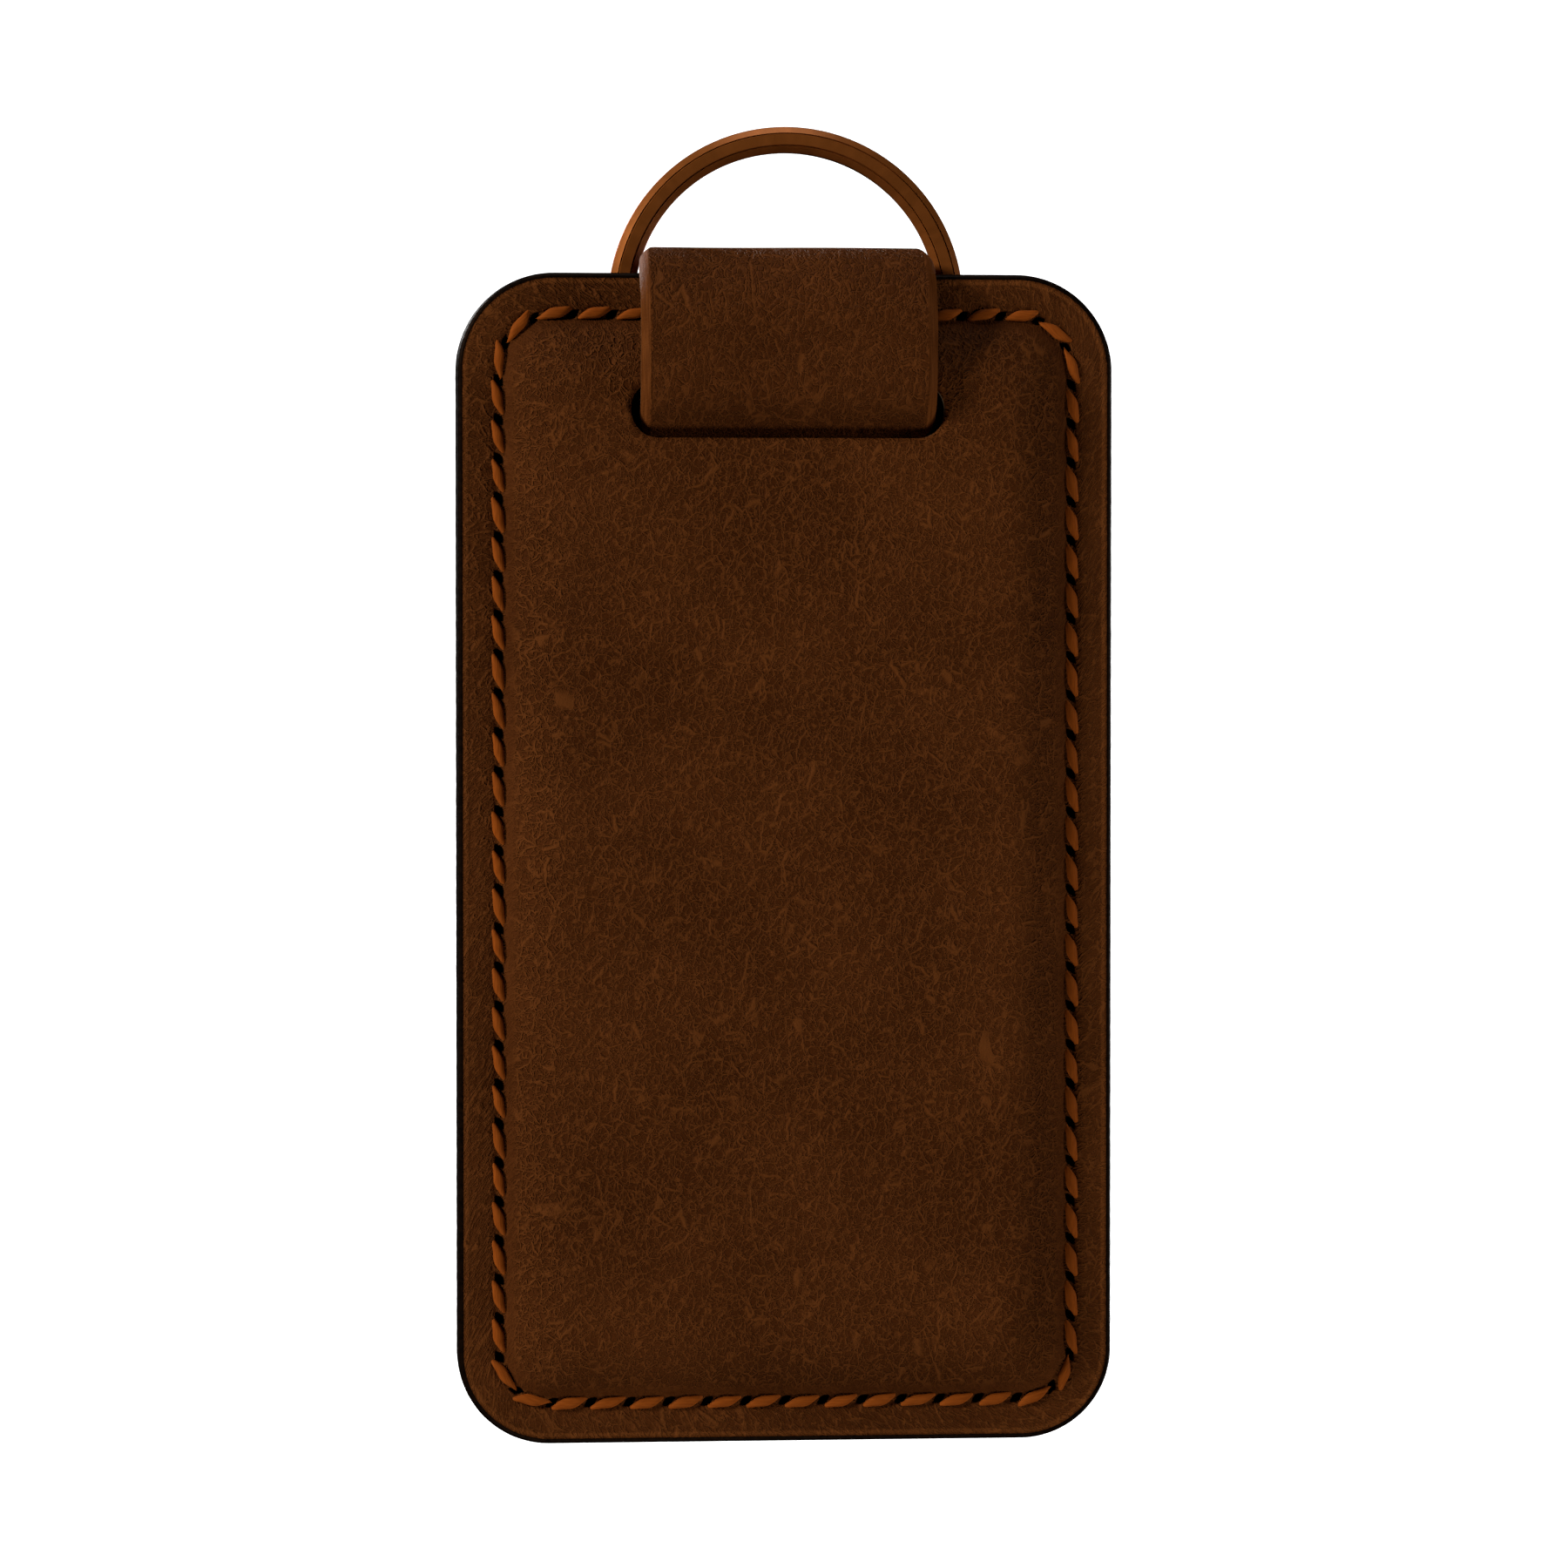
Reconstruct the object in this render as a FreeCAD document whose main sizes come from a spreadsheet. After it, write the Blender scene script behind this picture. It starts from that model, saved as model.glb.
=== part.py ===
import FreeCAD, Part
import math
import operator
import os
import Sketcher

from FreeCAD import Placement, Rotation, Vector

# Business card case with a fold-over strap and a D-ring, in millimetres.
# It hangs by its ring: +X is its width, the domed front faces -Y, +Z is up, and the origin is the
# top of the ring's inside, where a hook bears. Each piece is drawn on the case's own axes, which
# start at the middle of its bottom edge on the seam's middle plane, and is then put in that frame.

DIMENSIONS = [
    ("case_width", 65.0, "case, over its painted edges"),
    ("case_height", 115.7, "case, over its painted edges"),
    ("top_corner", 9.6, "outline radius of the top corners"),
    ("bottom_corner", 9.0, "outline radius of the bottom corners"),
    ("leather", 1.2, "thickness of the case leather"),
    ("stiffener", 0.5, "thickness of the stiffener boards"),
    ("lining", 0.3, "thickness of the linings"),
    ("welt", 1.2, "thickness of the spacer strip in the seam"),
    ("welt_depth", 4.9, "width of the spacer strip, from the edge inwards"),
    ("edge_round", 0.7, "round-over of the painted edges"),
    ("dome_rise", 3.2, "height of the front's dome above its seam margin"),
    ("dome_foot", 4.6, "distance from the edge to the foot of the dome"),
    ("dome_crest", 9.6, "distance from the edge to the crest of the dome"),
    ("dome_corner", 5.0, "corner radius at the foot of the dome"),
    ("crest_corner", 4.0, "corner radius at the crest of the dome"),
    ("crest_round", 2.2, "round-over of the dome's crest"),
    ("layer_shift", 0.29, "how far the dome's slope steps in for each mm of depth"),
    ("slot_width", 31.0, "strap slot"),
    ("slot_low", 99.4, "height of the slot's lower lip"),
    ("slot_high", 105.0, "height of the slot's upper lip"),
    ("slot_corner", 2.7, "radius of the slot's ends"),
    ("window_width", 54.6, "card window in the back"),
    ("window_low", 70.0, "height of the card mouth, the window's lower edge"),
    ("window_high", 97.0, "height of the window's upper edge"),
    ("window_corner", 3.0, "corner radius of the window"),
    ("stitch_inset", 4.0, "distance from the edge to the stitch line"),
    ("stitch_pitch", 3.88, "one stitch and its gap"),
    ("stitch_length", 3.3, "visible length of a stitch"),
    ("stitch_width", 1.0, "width of the thread"),
    ("stitch_lean", 9.0, "degrees that a stitch leans off the stitch line"),
    ("front_stitch", 0.4, "how far the front stitches stand proud"),
    ("back_stitch", 0.2, "how far the back stitches stand proud"),
    ("mouth_row", 67.6, "height of the stitch row under the card mouth"),
    ("mouth_row_length", 48.0, "length of that row"),
    ("strap_width", 29.2, "strap, on its legs"),
    ("neck_width", 27.6, "strap, where it runs through the ring"),
    ("strap_leather", 1.2, "outer leather of the strap"),
    ("strap_lining", 0.8, "lining leather of the strap"),
    ("fold_height", 110.6, "height of the centre of the strap's fold"),
    ("bend_miter", 0.365, "offset of a corner for each mm of depth where the strap enters the slot"),
    ("bend_drop", 0.8, "distance from the slot's upper lip down to the bend"),
    ("tail_low", 91.5, "height of the end of the strap's hidden tail"),
    ("tail_skive", 97.0, "height where the tail starts to be thinned"),
    ("tail_thickness", 1.0, "thickness of the thinned tail"),
    ("tail_gap", 0.05, "gap between the tail and the front lining"),
    ("tab_top", 109.0, "height of the tab's hinge line"),
    ("tab_length", 55.0, "length of the tab from its hinge line"),
    ("tab_gap", 0.1, "gap at the tab's hinge line"),
    ("tab_corner", 9.0, "radius of the tab's end corners"),
    ("tab_slope", 0.83, "degrees that the closed tab leans in towards the case"),
    ("neck_start", 1.5, "distance of the neck's start behind the seam's middle plane"),
    ("cut_margin", 1.0, "how far the strap's cutting outlines reach past its edges"),
    ("neck_end", 5.0, "distance from the hinge line to where the tab starts to widen"),
    ("neck_run", 5.0, "length over which it widens"),
    ("shoulder_low", 113.2, "height where the strap's shoulders start"),
    ("shoulder_run", 7.0, "height of the cut that makes the shoulders"),
    ("snap_drop", 47.0, "distance from the hinge line to the press snap"),
    ("snap_post", 1.6, "radius of the snap's posts"),
    ("snap_hole", 1.7, "radius of the holes for the posts"),
    ("cap_radius", 6.2, "snap cap"),
    ("cap_rim", 0.3, "height of the cap's rim"),
    ("cap_height", 1.3, "height of the cap's crown"),
    ("crown_radius", 1.86, "radius of the flat on the cap's crown"),
    ("cap_shoulder", 0.98, "height of the cap's shoulder"),
    ("shoulder_radius", 4.46, "radius of the cap's shoulder"),
    ("socket_radius", 4.7, "snap socket"),
    ("socket_bore", 3.2, "bore of the socket"),
    ("socket_floor", 0.5, "floor of the socket"),
    ("socket_height", 1.9, "height of the socket"),
    ("stud_base", 4.5, "radius of the stud's base"),
    ("stud_base_height", 0.4, "height of the stud's base"),
    ("stud_neck", 2.4, "radius of the stud's neck"),
    ("stud_head", 2.9, "radius of the stud's head"),
    ("stud_neck_height", 1.0, "height of the underside of the stud's head"),
    ("stud_height", 1.8, "height of the stud"),
    ("stud_flare", 0.3, "height of the flare under the stud's head"),
    ("stud_bevel_height", 0.2, "height of the bevel on the stud's head"),
    ("stud_bevel_width", 0.4, "width of the bevel on the stud's head"),
    ("post_sink", 0.3, "how far the post ends below the top of the stud"),
    ("post_flange", 4.0, "radius of the post's flange"),
    ("flange_room", 0.1, "clearance round the post's flange"),
    ("ring_inside", 15.0, "inner radius of the D-ring's bow"),
    ("ring_wall", 2.6, "width of the ring's wall"),
    ("ring_thickness", 2.4, "thickness of the ring"),
    ("ring_bevel", 0.7, "bevels of the ring's wall"),
    ("ring_centre", 112.9, "height of the centre of the bow"),
    ("bar_height", 111.0, "height of the ring's bar"),
    ("ring_corner", 2.0, "outer corner radius of the ring's bar"),
]

# Numbers below ZERO count as nothing, and points that are within TOUCH of a plane as lying on it.
ZERO = 1e-9
TOUCH = 1e-3

OPERATIONS = {"+": operator.add, "-": operator.sub, "*": operator.mul, "/": operator.truediv}

doc = FreeCAD.newDocument("CardCase")
sheet = doc.addObject("Spreadsheet::Sheet", "Dimensions")


class Size:
    """A size that carries its value and the formula that gives it from the sheet."""

    def __init__(self, value, formula):
        self.value = value
        self.formula = formula

    def __add__(self, other):
        return combine(self, "+", other)

    def __radd__(self, other):
        return combine(other, "+", self)

    def __sub__(self, other):
        return combine(self, "-", other)

    def __rsub__(self, other):
        return combine(other, "-", self)

    def __mul__(self, other):
        return combine(self, "*", other)

    def __rmul__(self, other):
        return combine(other, "*", self)

    def __truediv__(self, other):
        return combine(self, "/", other)

    def __neg__(self):
        return combine(0, "-", self)


def as_size(number):
    return number if isinstance(number, Size) else Size(float(number), str(number))


def combine(left, sign, right):
    left = as_size(left)
    right = as_size(right)
    value = OPERATIONS[sign](left.value, right.value)
    return Size(value, "(%s %s %s)" % (left.formula, sign, right.formula))


def fill_sheet():
    """Write the driving dimensions to the sheet and return them by name."""
    sizes = {}
    for row, (alias, value, meaning) in enumerate(DIMENSIONS, start=1):
        sheet.set("A%d" % row, meaning)
        sheet.set("B%d" % row, str(value))
        sheet.setAlias("B%d" % row, alias)
        sizes[alias] = Size(value, "Dimensions.%s" % alias)
    doc.recompute()
    return sizes


d = fill_sheet()

# Sizes that several pieces share. Depths are measured from the seam's middle plane.
half_width = d["case_width"] / 2
welt_face = d["welt"] / 2
lining_face = welt_face + d["lining"]
stiffener_face = lining_face + d["stiffener"]
case_face = stiffener_face + d["leather"]
strap_thickness = d["strap_leather"] + d["strap_lining"]
fold_inner = case_face + d["dome_rise"]
fold_middle = fold_inner + d["strap_lining"]
fold_outer = fold_inner + strap_thickness
snap_height = d["tab_top"] - d["snap_drop"]
ring_plane = (case_face + fold_inner) / 2
hang_height = d["ring_centre"] + d["ring_inside"]


# ---------------------------------------------------------------- helpers

def bind(thing, name, size):
    thing.setExpression(name, as_size(size).formula)


def put_in_frame(piece, depth=0, height=0):
    """Place a finished piece, drawn at (0, depth, height) on the case's axes, in the hanging frame."""
    bind(piece, "Placement.Base.y", depth - ring_plane)
    bind(piece, "Placement.Base.z", height - hang_height)


def sine(angle):
    return Size(math.sin(math.radians(angle.value)), "sin(%s)" % angle.formula)


def cosine(angle):
    return Size(math.cos(math.radians(angle.value)), "cos(%s)" % angle.formula)


def new_body(name):
    body = doc.addObject("PartDesign::Body", name)
    body.Label = name
    return body


def new_sketch(body, name, role, offset=None):
    """A sketch on one of the body's own origin planes, raised by offset along its normal."""
    sketch = body.newObject("Sketcher::SketchObject", name)
    plane = next(item for item in body.Origin.OriginFeatures if item.Role == role)
    sketch.AttachmentSupport = [(plane, "")]
    sketch.MapMode = "FlatFace"
    if offset is not None:
        bind(sketch, "AttachmentOffset.Base.z", offset)
    return sketch


def drive(sketch, kind, arguments, size):
    """Add a dimension to a sketch and bind it to the sheet."""
    index = sketch.addConstraint(Sketcher.Constraint(kind, *arguments, size.value))
    bind(sketch, "Constraints[%d]" % index, size)


def relate(sketch, kind, *arguments):
    """Add a geometric relation, one without a size, to a sketch."""
    sketch.addConstraint(Sketcher.Constraint(kind, *arguments))


def place_point(sketch, edge, end, across, up):
    """Pin one end of a sketch edge at (across, up)."""
    for kind, axis, size in (("DistanceX", -2, across), ("DistanceY", -1, up)):
        size = as_size(size)
        if abs(size.value) < ZERO:
            relate(sketch, "PointOnObject", edge, end, axis)
        else:
            drive(sketch, kind, (-1, 1, edge, end), size)


def flat_point(across, up):
    return Vector(as_size(across).value, as_size(up).value, 0)


def draw_outline(sketch, corners, arcs=None):
    """A closed outline through corners. arcs gives, by corner number, the arc to the next corner
    as (height of its centre, True when it runs anticlockwise); its centre is on the vertical axis."""
    arcs = arcs or {}
    first = sketch.GeometryCount
    ends = []
    for number, corner in enumerate(corners):
        start = flat_point(*corner)
        stop = flat_point(*corners[(number + 1) % len(corners)])
        if number not in arcs:
            sketch.addGeometry(Part.LineSegment(start, stop), False)
            ends.append((1, 2))
            continue
        height, anticlockwise = arcs[number]
        centre = flat_point(0, height)
        low, high = (start, stop) if anticlockwise else (stop, start)
        circle = Part.Circle(centre, Vector(0, 0, 1), (start - centre).Length)
        low_angle = math.atan2(low.y - centre.y, low.x)
        high_angle = math.atan2(high.y - centre.y, high.x)
        if high_angle <= low_angle:
            high_angle += 2 * math.pi
        sketch.addGeometry(Part.ArcOfCircle(circle, low_angle, high_angle), False)
        ends.append((1, 2) if anticlockwise else (2, 1))
    count = len(corners)
    for number in range(count):
        following = (number + 1) % count
        relate(sketch, "Coincident", first + number, ends[number][1], first + following, ends[following][0])
    for number, (across, up) in enumerate(corners):
        place_point(sketch, first + number, ends[number][0], across, up)
    for number, (height, _) in arcs.items():
        drive(sketch, "DistanceY", (-1, 1, first + number, 3), as_size(height))


def draw_rounded(sketch, half, low, high, low_radius, high_radius):
    """A rectangle centred on the vertical axis, from low to high, with rounded corners."""
    half, low, high = as_size(half), as_size(low), as_size(high)
    low_radius, high_radius = as_size(low_radius), as_size(high_radius)
    first = sketch.GeometryCount
    corners = [(1, low, low_radius, -90), (1, high, high_radius, 0), (-1, high, high_radius, 90),
               (-1, low, low_radius, 180)]
    arcs = []
    for side, level, radius, angle in corners:
        across = side * (half.value - radius.value)
        up = level.value + radius.value * (1 if level is low else -1)
        circle = Part.Circle(Vector(across, up, 0), Vector(0, 0, 1), radius.value)
        arcs.append(Part.ArcOfCircle(circle, math.radians(angle), math.radians(angle + 90)))
    for number, arc in enumerate(arcs):
        line = Part.LineSegment(arcs[number - 1].EndPoint, arc.StartPoint)
        sketch.addGeometry(line, False)
        sketch.addGeometry(arc, False)
    bottom, low_arc, right, high_arc, top, _, left, _ = range(first, first + 8)
    for number in range(8):
        relate(sketch, "Tangent", first + number, 2, first + (number + 1) % 8, 1)
    relate(sketch, "Horizontal", top)
    for edge in (right, left):
        relate(sketch, "Vertical", edge)
    relate(sketch, "Symmetric", bottom, 1, bottom, 2, -2)
    relate(sketch, "Equal", low_arc, first + 7)
    relate(sketch, "Equal", high_arc, first + 5)
    drive(sketch, "Radius", (low_arc,), low_radius)
    drive(sketch, "Radius", (high_arc,), high_radius)
    drive(sketch, "DistanceX", (left, 1, right, 1), half * 2)
    drive(sketch, "DistanceY", (bottom, 1, top, 1), high - low)
    place_height(sketch, bottom, low)


def place_height(sketch, edge, height):
    if abs(height.value) < ZERO:
        relate(sketch, "PointOnObject", edge, 1, -1)
    else:
        drive(sketch, "DistanceY", (-1, 1, edge, 1), height)


def draw_circle(sketch, height, radius):
    """A circle centred on the vertical axis."""
    radius = as_size(radius)
    circle = Part.Circle(flat_point(0, height), Vector(0, 0, 1), radius.value)
    edge = sketch.addGeometry(circle, False)
    place_point(sketch, edge, 3, 0, height)
    drive(sketch, "Radius", (edge,), radius)


def draw_case_outline(sketch, inset=0):
    draw_rounded(sketch, half_width - inset, as_size(inset), d["case_height"] - inset,
                 d["bottom_corner"] - inset, d["top_corner"] - inset)


def pad(body, sketch, length, backwards=False, symmetric=False):
    feature = body.newObject("PartDesign::Pad", sketch.Name + "_pad")
    feature.Profile = sketch
    bind(feature, "Length", length)
    feature.SideType = "Symmetric" if symmetric else "One side"
    feature.Reversed = backwards
    doc.recompute()
    return feature


def pocket_through(body, sketch, backwards=False, symmetric=False):
    """Cut the sketch right through the body, and make sure that it cuts something."""
    before = body.Shape.Volume
    feature = body.newObject("PartDesign::Pocket", sketch.Name + "_pocket")
    feature.Profile = sketch
    feature.SideType = "Symmetric" if symmetric else "One side"
    feature.Type = "ThroughAll"
    feature.Reversed = backwards
    doc.recompute()
    if body.Shape.Volume > before - TOUCH:
        raise RuntimeError("%s cuts nothing" % feature.Name)
    return feature


def edges_where(feature, test):
    names = []
    for number, edge in enumerate(feature.Shape.Edges, start=1):
        if all(test(vertex.Point) for vertex in edge.Vertexes):
            names.append("Edge%d" % number)
    return names


def finish_edges(body, base, kind, edges, size):
    """A PartDesign fillet or chamfer on the named edges of a feature."""
    feature = body.newObject("PartDesign::" + kind, base.Name + "_" + kind.lower())
    feature.Base = (base, edges)
    bind(feature, "Radius" if kind == "Fillet" else "Size", size)
    doc.recompute()
    return feature


def revolve(body, name, corners):
    """Turn a half profile, given as (along the axis, radius) corners, about the body's own Y axis."""
    sketch = new_sketch(body, name + "_profile", "YZ_Plane")
    draw_outline(sketch, corners)
    feature = body.newObject("PartDesign::Revolution", name + "_turn")
    feature.Profile = sketch
    feature.ReferenceAxis = (sketch, ["H_Axis"])
    feature.Angle = 360
    doc.recompute()
    return feature


def part_cut(name, base, tool):
    cut = doc.addObject("Part::Cut", name)
    cut.Label = name
    cut.Base = base
    cut.Tool = tool
    doc.recompute()
    return cut


# ---------------------------------------------------------------- the case

def dome_core(name, depth):
    """The solid from the seam's middle plane out to the front surface that lies depth under the
    outside. The front's layers are what is left between two of these."""
    body = new_body(name)
    level = case_face - depth
    crest_level = level + d["dome_rise"]
    foot_inset = d["dome_foot"] + d["layer_shift"] * depth
    crest_inset = d["dome_crest"] + d["layer_shift"] * depth
    margin = new_sketch(body, name + "_margin", "XZ_Plane")
    draw_case_outline(margin)
    pad(body, margin, level)
    foot = new_sketch(body, name + "_foot", "XZ_Plane", level)
    draw_rounded(foot, half_width - foot_inset, foot_inset, d["case_height"] - foot_inset,
                 d["dome_corner"], d["dome_corner"])
    crest = new_sketch(body, name + "_crest", "XZ_Plane", crest_level)
    draw_rounded(crest, half_width - crest_inset, crest_inset, d["case_height"] - crest_inset,
                 d["crest_corner"], d["crest_corner"])
    loft = body.newObject("PartDesign::AdditiveLoft", name + "_loft")
    loft.Profile = foot
    loft.Sections = [crest]
    loft.Ruled = True
    doc.recompute()
    crest_edges = edges_where(loft, lambda point: abs(point.y + crest_level.value) < TOUCH)
    return body, finish_edges(body, loft, "Fillet", crest_edges, d["crest_round"] - depth)


def on_rim(point, level):
    """True for the corners of the case's outer edge on the face at this level. Everything else on
    that face, the foot of the dome or the window, is further in than half the seam's margin."""
    half_margin = d["dome_foot"].value / 2
    at_side = abs(point.x) > half_width.value - half_margin
    at_top = point.z > d["case_height"].value - half_margin
    at_bottom = point.z < half_margin
    return abs(point.y - level) < TOUCH and (at_side or at_top or at_bottom)


def make_front():
    """Leather, stiffener and lining of the domed front, each with the strap slot."""
    depths = [0, d["leather"], d["leather"] + d["stiffener"], case_face - welt_face]
    cores = []
    for number, depth in enumerate(depths):
        body, feature = dome_core("front_core_%d" % number, as_size(depth))
        if number == 0:
            rim = edges_where(feature, lambda point: on_rim(point, -case_face.value))
            finish_edges(body, feature, "Fillet", rim, d["edge_round"])
        cores.append(body)
    slot_tool = new_body("slot_tool")
    slot_sketch = new_sketch(slot_tool, "slot_tool_outline", "XZ_Plane")
    draw_rounded(slot_sketch, d["slot_width"] / 2, d["slot_low"], d["slot_high"],
                 d["slot_corner"], d["slot_corner"])
    pad(slot_tool, slot_sketch, fold_outer)
    names = ["front_leather", "front_stiffener", "front_lining"]
    made = []
    for number, name in enumerate(names):
        shell = part_cut(name + "_shell", cores[number], cores[number + 1])
        made.append(part_cut(name, shell, slot_tool))
    return made


def flat_layer(name, near, thickness, rim_round=False, hole=None):
    """A flat layer of the back from depth near, with the card window and a hole for the snap."""
    body = new_body(name)
    sketch = new_sketch(body, name + "_outline", "XZ_Plane", -near)
    draw_case_outline(sketch)
    draw_rounded(sketch, d["window_width"] / 2, d["window_low"], d["window_high"],
                 d["window_corner"], d["window_corner"])
    if hole is not None:
        draw_circle(sketch, snap_height, hole)
    feature = pad(body, sketch, thickness, backwards=True)
    if rim_round:
        level = (near + thickness).value
        rim = edges_where(feature, lambda point: on_rim(point, level))
        finish_edges(body, feature, "Fillet", rim, d["edge_round"])
    return body


def make_back():
    leather = flat_layer("back_leather", stiffener_face, d["leather"], rim_round=True, hole=d["snap_hole"])
    board = flat_layer("back_stiffener", lining_face, d["stiffener"],
                       hole=d["post_flange"] + d["flange_room"])
    lining = flat_layer("back_lining", welt_face, d["lining"])
    return [leather, board, lining]


def make_welt():
    """The spacer strip that runs right round inside the seam."""
    body = new_body("seam_welt")
    sketch = new_sketch(body, "seam_welt_outline", "XZ_Plane")
    draw_case_outline(sketch)
    draw_case_outline(sketch, d["welt_depth"])
    pad(body, sketch, d["welt"], symmetric=True)
    return body


# ---------------------------------------------------------------- stitching

def seam_path():
    """The stitch line as (start point, direction, length) runs and (centre, radius, angle) arcs,
    anticlockwise seen from the front, from the left end of the bottom run."""
    inset = d["stitch_inset"].value
    half = half_width.value - inset
    high = d["case_height"].value - inset
    low_radius = d["bottom_corner"].value - inset
    high_radius = d["top_corner"].value - inset
    return [
        ("run", (low_radius - half, inset), 0, 2 * (half - low_radius)),
        ("arc", (half - low_radius, inset + low_radius), -90, low_radius),
        ("run", (half, inset + low_radius), 90, high - inset - low_radius - high_radius),
        ("arc", (half - high_radius, high - high_radius), 0, high_radius),
        ("run", (half - high_radius, high), 180, 2 * (half - high_radius)),
        ("arc", (high_radius - half, high - high_radius), 90, high_radius),
        ("run", (-half, high - high_radius), 270, high - inset - low_radius - high_radius),
        ("arc", (low_radius - half, inset + low_radius), 180, low_radius),
    ]


def piece_length(piece):
    kind, _, _, size = piece
    return size if kind == "run" else size * math.pi / 2


def stitch_places():
    """Centre and heading of each stitch, evenly spaced along the stitch line."""
    path = seam_path()
    total = sum(piece_length(piece) for piece in path)
    count = round(total / d["stitch_pitch"].value)
    places = []
    for number in range(count):
        travel = total * (number + 0.5) / count
        for piece in path:
            if travel <= piece_length(piece):
                break
            travel -= piece_length(piece)
        kind, (across, up), angle, size = piece
        if kind == "run":
            turn = math.radians(angle)
            place = (across + travel * math.cos(turn), up + travel * math.sin(turn))
            heading = angle
        else:
            turn = math.radians(angle) + travel / size
            place = (across + size * math.cos(turn), up + size * math.sin(turn))
            heading = math.degrees(turn) + 90
        places.append((place, heading))
    return places


def stitch_solid(place, heading, level, rise):
    """One flattened stitch that stands on the face at level and rises towards -Y or +Y."""
    half_length = d["stitch_length"].value / 2
    half_thread = d["stitch_width"].value / 2
    outline = [(-half_length, 0), (-half_length / 2, -half_thread), (half_length / 2, -half_thread),
               (half_length, 0), (half_length / 2, half_thread), (-half_length / 2, half_thread)]
    corners = [Vector(along, 0, side) for along, side in outline]
    solid = Part.Face(Part.makePolygon(corners + corners[:1])).extrude(Vector(0, rise, 0))
    lean = heading + d["stitch_lean"].value
    solid.Placement = Placement(Vector(place[0], level, place[1]), Rotation(Vector(0, -1, 0), lean))
    return solid


def stitch_group(name, places, level, rise):
    group = doc.addObject("Part::Feature", name)
    group.Label = name
    solids = [stitch_solid(place, heading, level, rise) for place, heading in places]
    group.Shape = Part.makeCompound(solids)
    put_in_frame(group)
    return group


def make_stitching():
    places = stitch_places()
    face = case_face.value
    row_count = round(d["mouth_row_length"].value / d["stitch_pitch"].value)
    row = []
    for number in range(row_count):
        across = (number + 0.5 - row_count / 2) * d["stitch_pitch"].value
        row.append(((across, d["mouth_row"].value), 0))
    return [
        stitch_group("seam_thread_front", places, -face, -d["front_stitch"].value),
        stitch_group("seam_thread_back", places, face, d["back_stitch"].value),
        stitch_group("mouth_thread", row, face, d["back_stitch"].value),
    ]


# ---------------------------------------------------------------- the strap

def trim_front_strap(body):
    """Narrow the strap where it runs through the ring, and slope its shoulders at the fold."""
    neck = new_sketch(body, body.Name + "_neck", "XY_Plane")
    shoulder = new_sketch(body, body.Name + "_shoulder", "XZ_Plane")
    neck_back = fold_outer + d["cut_margin"]
    shoulder_high = d["shoulder_low"] + d["shoulder_run"]
    for side in (1, -1):
        outside = side * (d["strap_width"] / 2 + d["cut_margin"])
        waist = side * d["neck_width"] / 2
        edge = side * d["strap_width"] / 2
        draw_outline(neck, [(waist, d["neck_start"]), (outside, d["neck_start"]),
                            (outside, neck_back), (waist, neck_back)])
        draw_outline(shoulder, [(edge, d["shoulder_low"]), (outside, d["shoulder_low"]),
                                (outside, shoulder_high), (waist, shoulder_high)])
    pocket_through(body, neck, backwards=True)
    pocket_through(body, shoulder, symmetric=True)


def make_front_strap():
    """Front leg, fold and hidden tail of the strap: outer leather and lining."""
    tail_face = fold_inner - (case_face - welt_face) - d["tail_gap"]
    bend = d["slot_high"] - d["bend_drop"]
    lip = d["slot_low"]
    middle_rise = d["strap_leather"] * d["bend_miter"]
    inner_rise = strap_thickness * d["bend_miter"]
    tail_middle = tail_face - d["strap_leather"]
    end = d["tab_top"] + d["tab_gap"] / 2
    fold = d["fold_height"]

    leather = new_body("strap_front_leather")
    outline = new_sketch(leather, "strap_front_leather_section", "YZ_Plane")
    draw_outline(outline, [
        (-tail_face, d["tail_low"]), (d["tail_thickness"] - tail_face, d["tail_low"]),
        (-tail_middle, d["tail_skive"]), (-tail_middle, lip + middle_rise),
        (-fold_middle, bend + middle_rise), (-fold_middle, fold), (fold_middle, fold), (fold_middle, end),
        (fold_outer, end), (fold_outer, fold), (-fold_outer, fold), (-fold_outer, bend), (-tail_face, lip),
    ], arcs={5: (fold, False), 9: (fold, True)})
    pad(leather, outline, d["strap_width"], symmetric=True)
    trim_front_strap(leather)

    lining = new_body("strap_front_lining")
    outline = new_sketch(lining, "strap_front_lining_section", "YZ_Plane")
    draw_outline(outline, [
        (-tail_middle, lip + middle_rise), (strap_thickness - tail_face, lip + inner_rise),
        (-fold_inner, bend + inner_rise), (-fold_inner, fold), (fold_inner, fold), (fold_inner, end),
        (fold_middle, end), (fold_middle, fold), (-fold_middle, fold), (-fold_middle, bend + middle_rise),
    ], arcs={3: (fold, False), 7: (fold, True)})
    pad(lining, outline, d["strap_width"], symmetric=True)
    trim_front_strap(lining)
    return [leather, lining]


def put_on_tab(body, drop=0):
    """Put a piece onto the closed tab, which leans in towards the case by tab_slope. The piece is
    drawn in the tab's own frame: +Y points out of the tab's inner face, drop is along the tab."""
    body.Placement.Rotation = Rotation(Vector(1, 0, 0), -d["tab_slope"].value)
    depth = fold_inner - drop * sine(d["tab_slope"])
    put_in_frame(body, depth, d["tab_top"] - drop * cosine(d["tab_slope"]))


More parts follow.
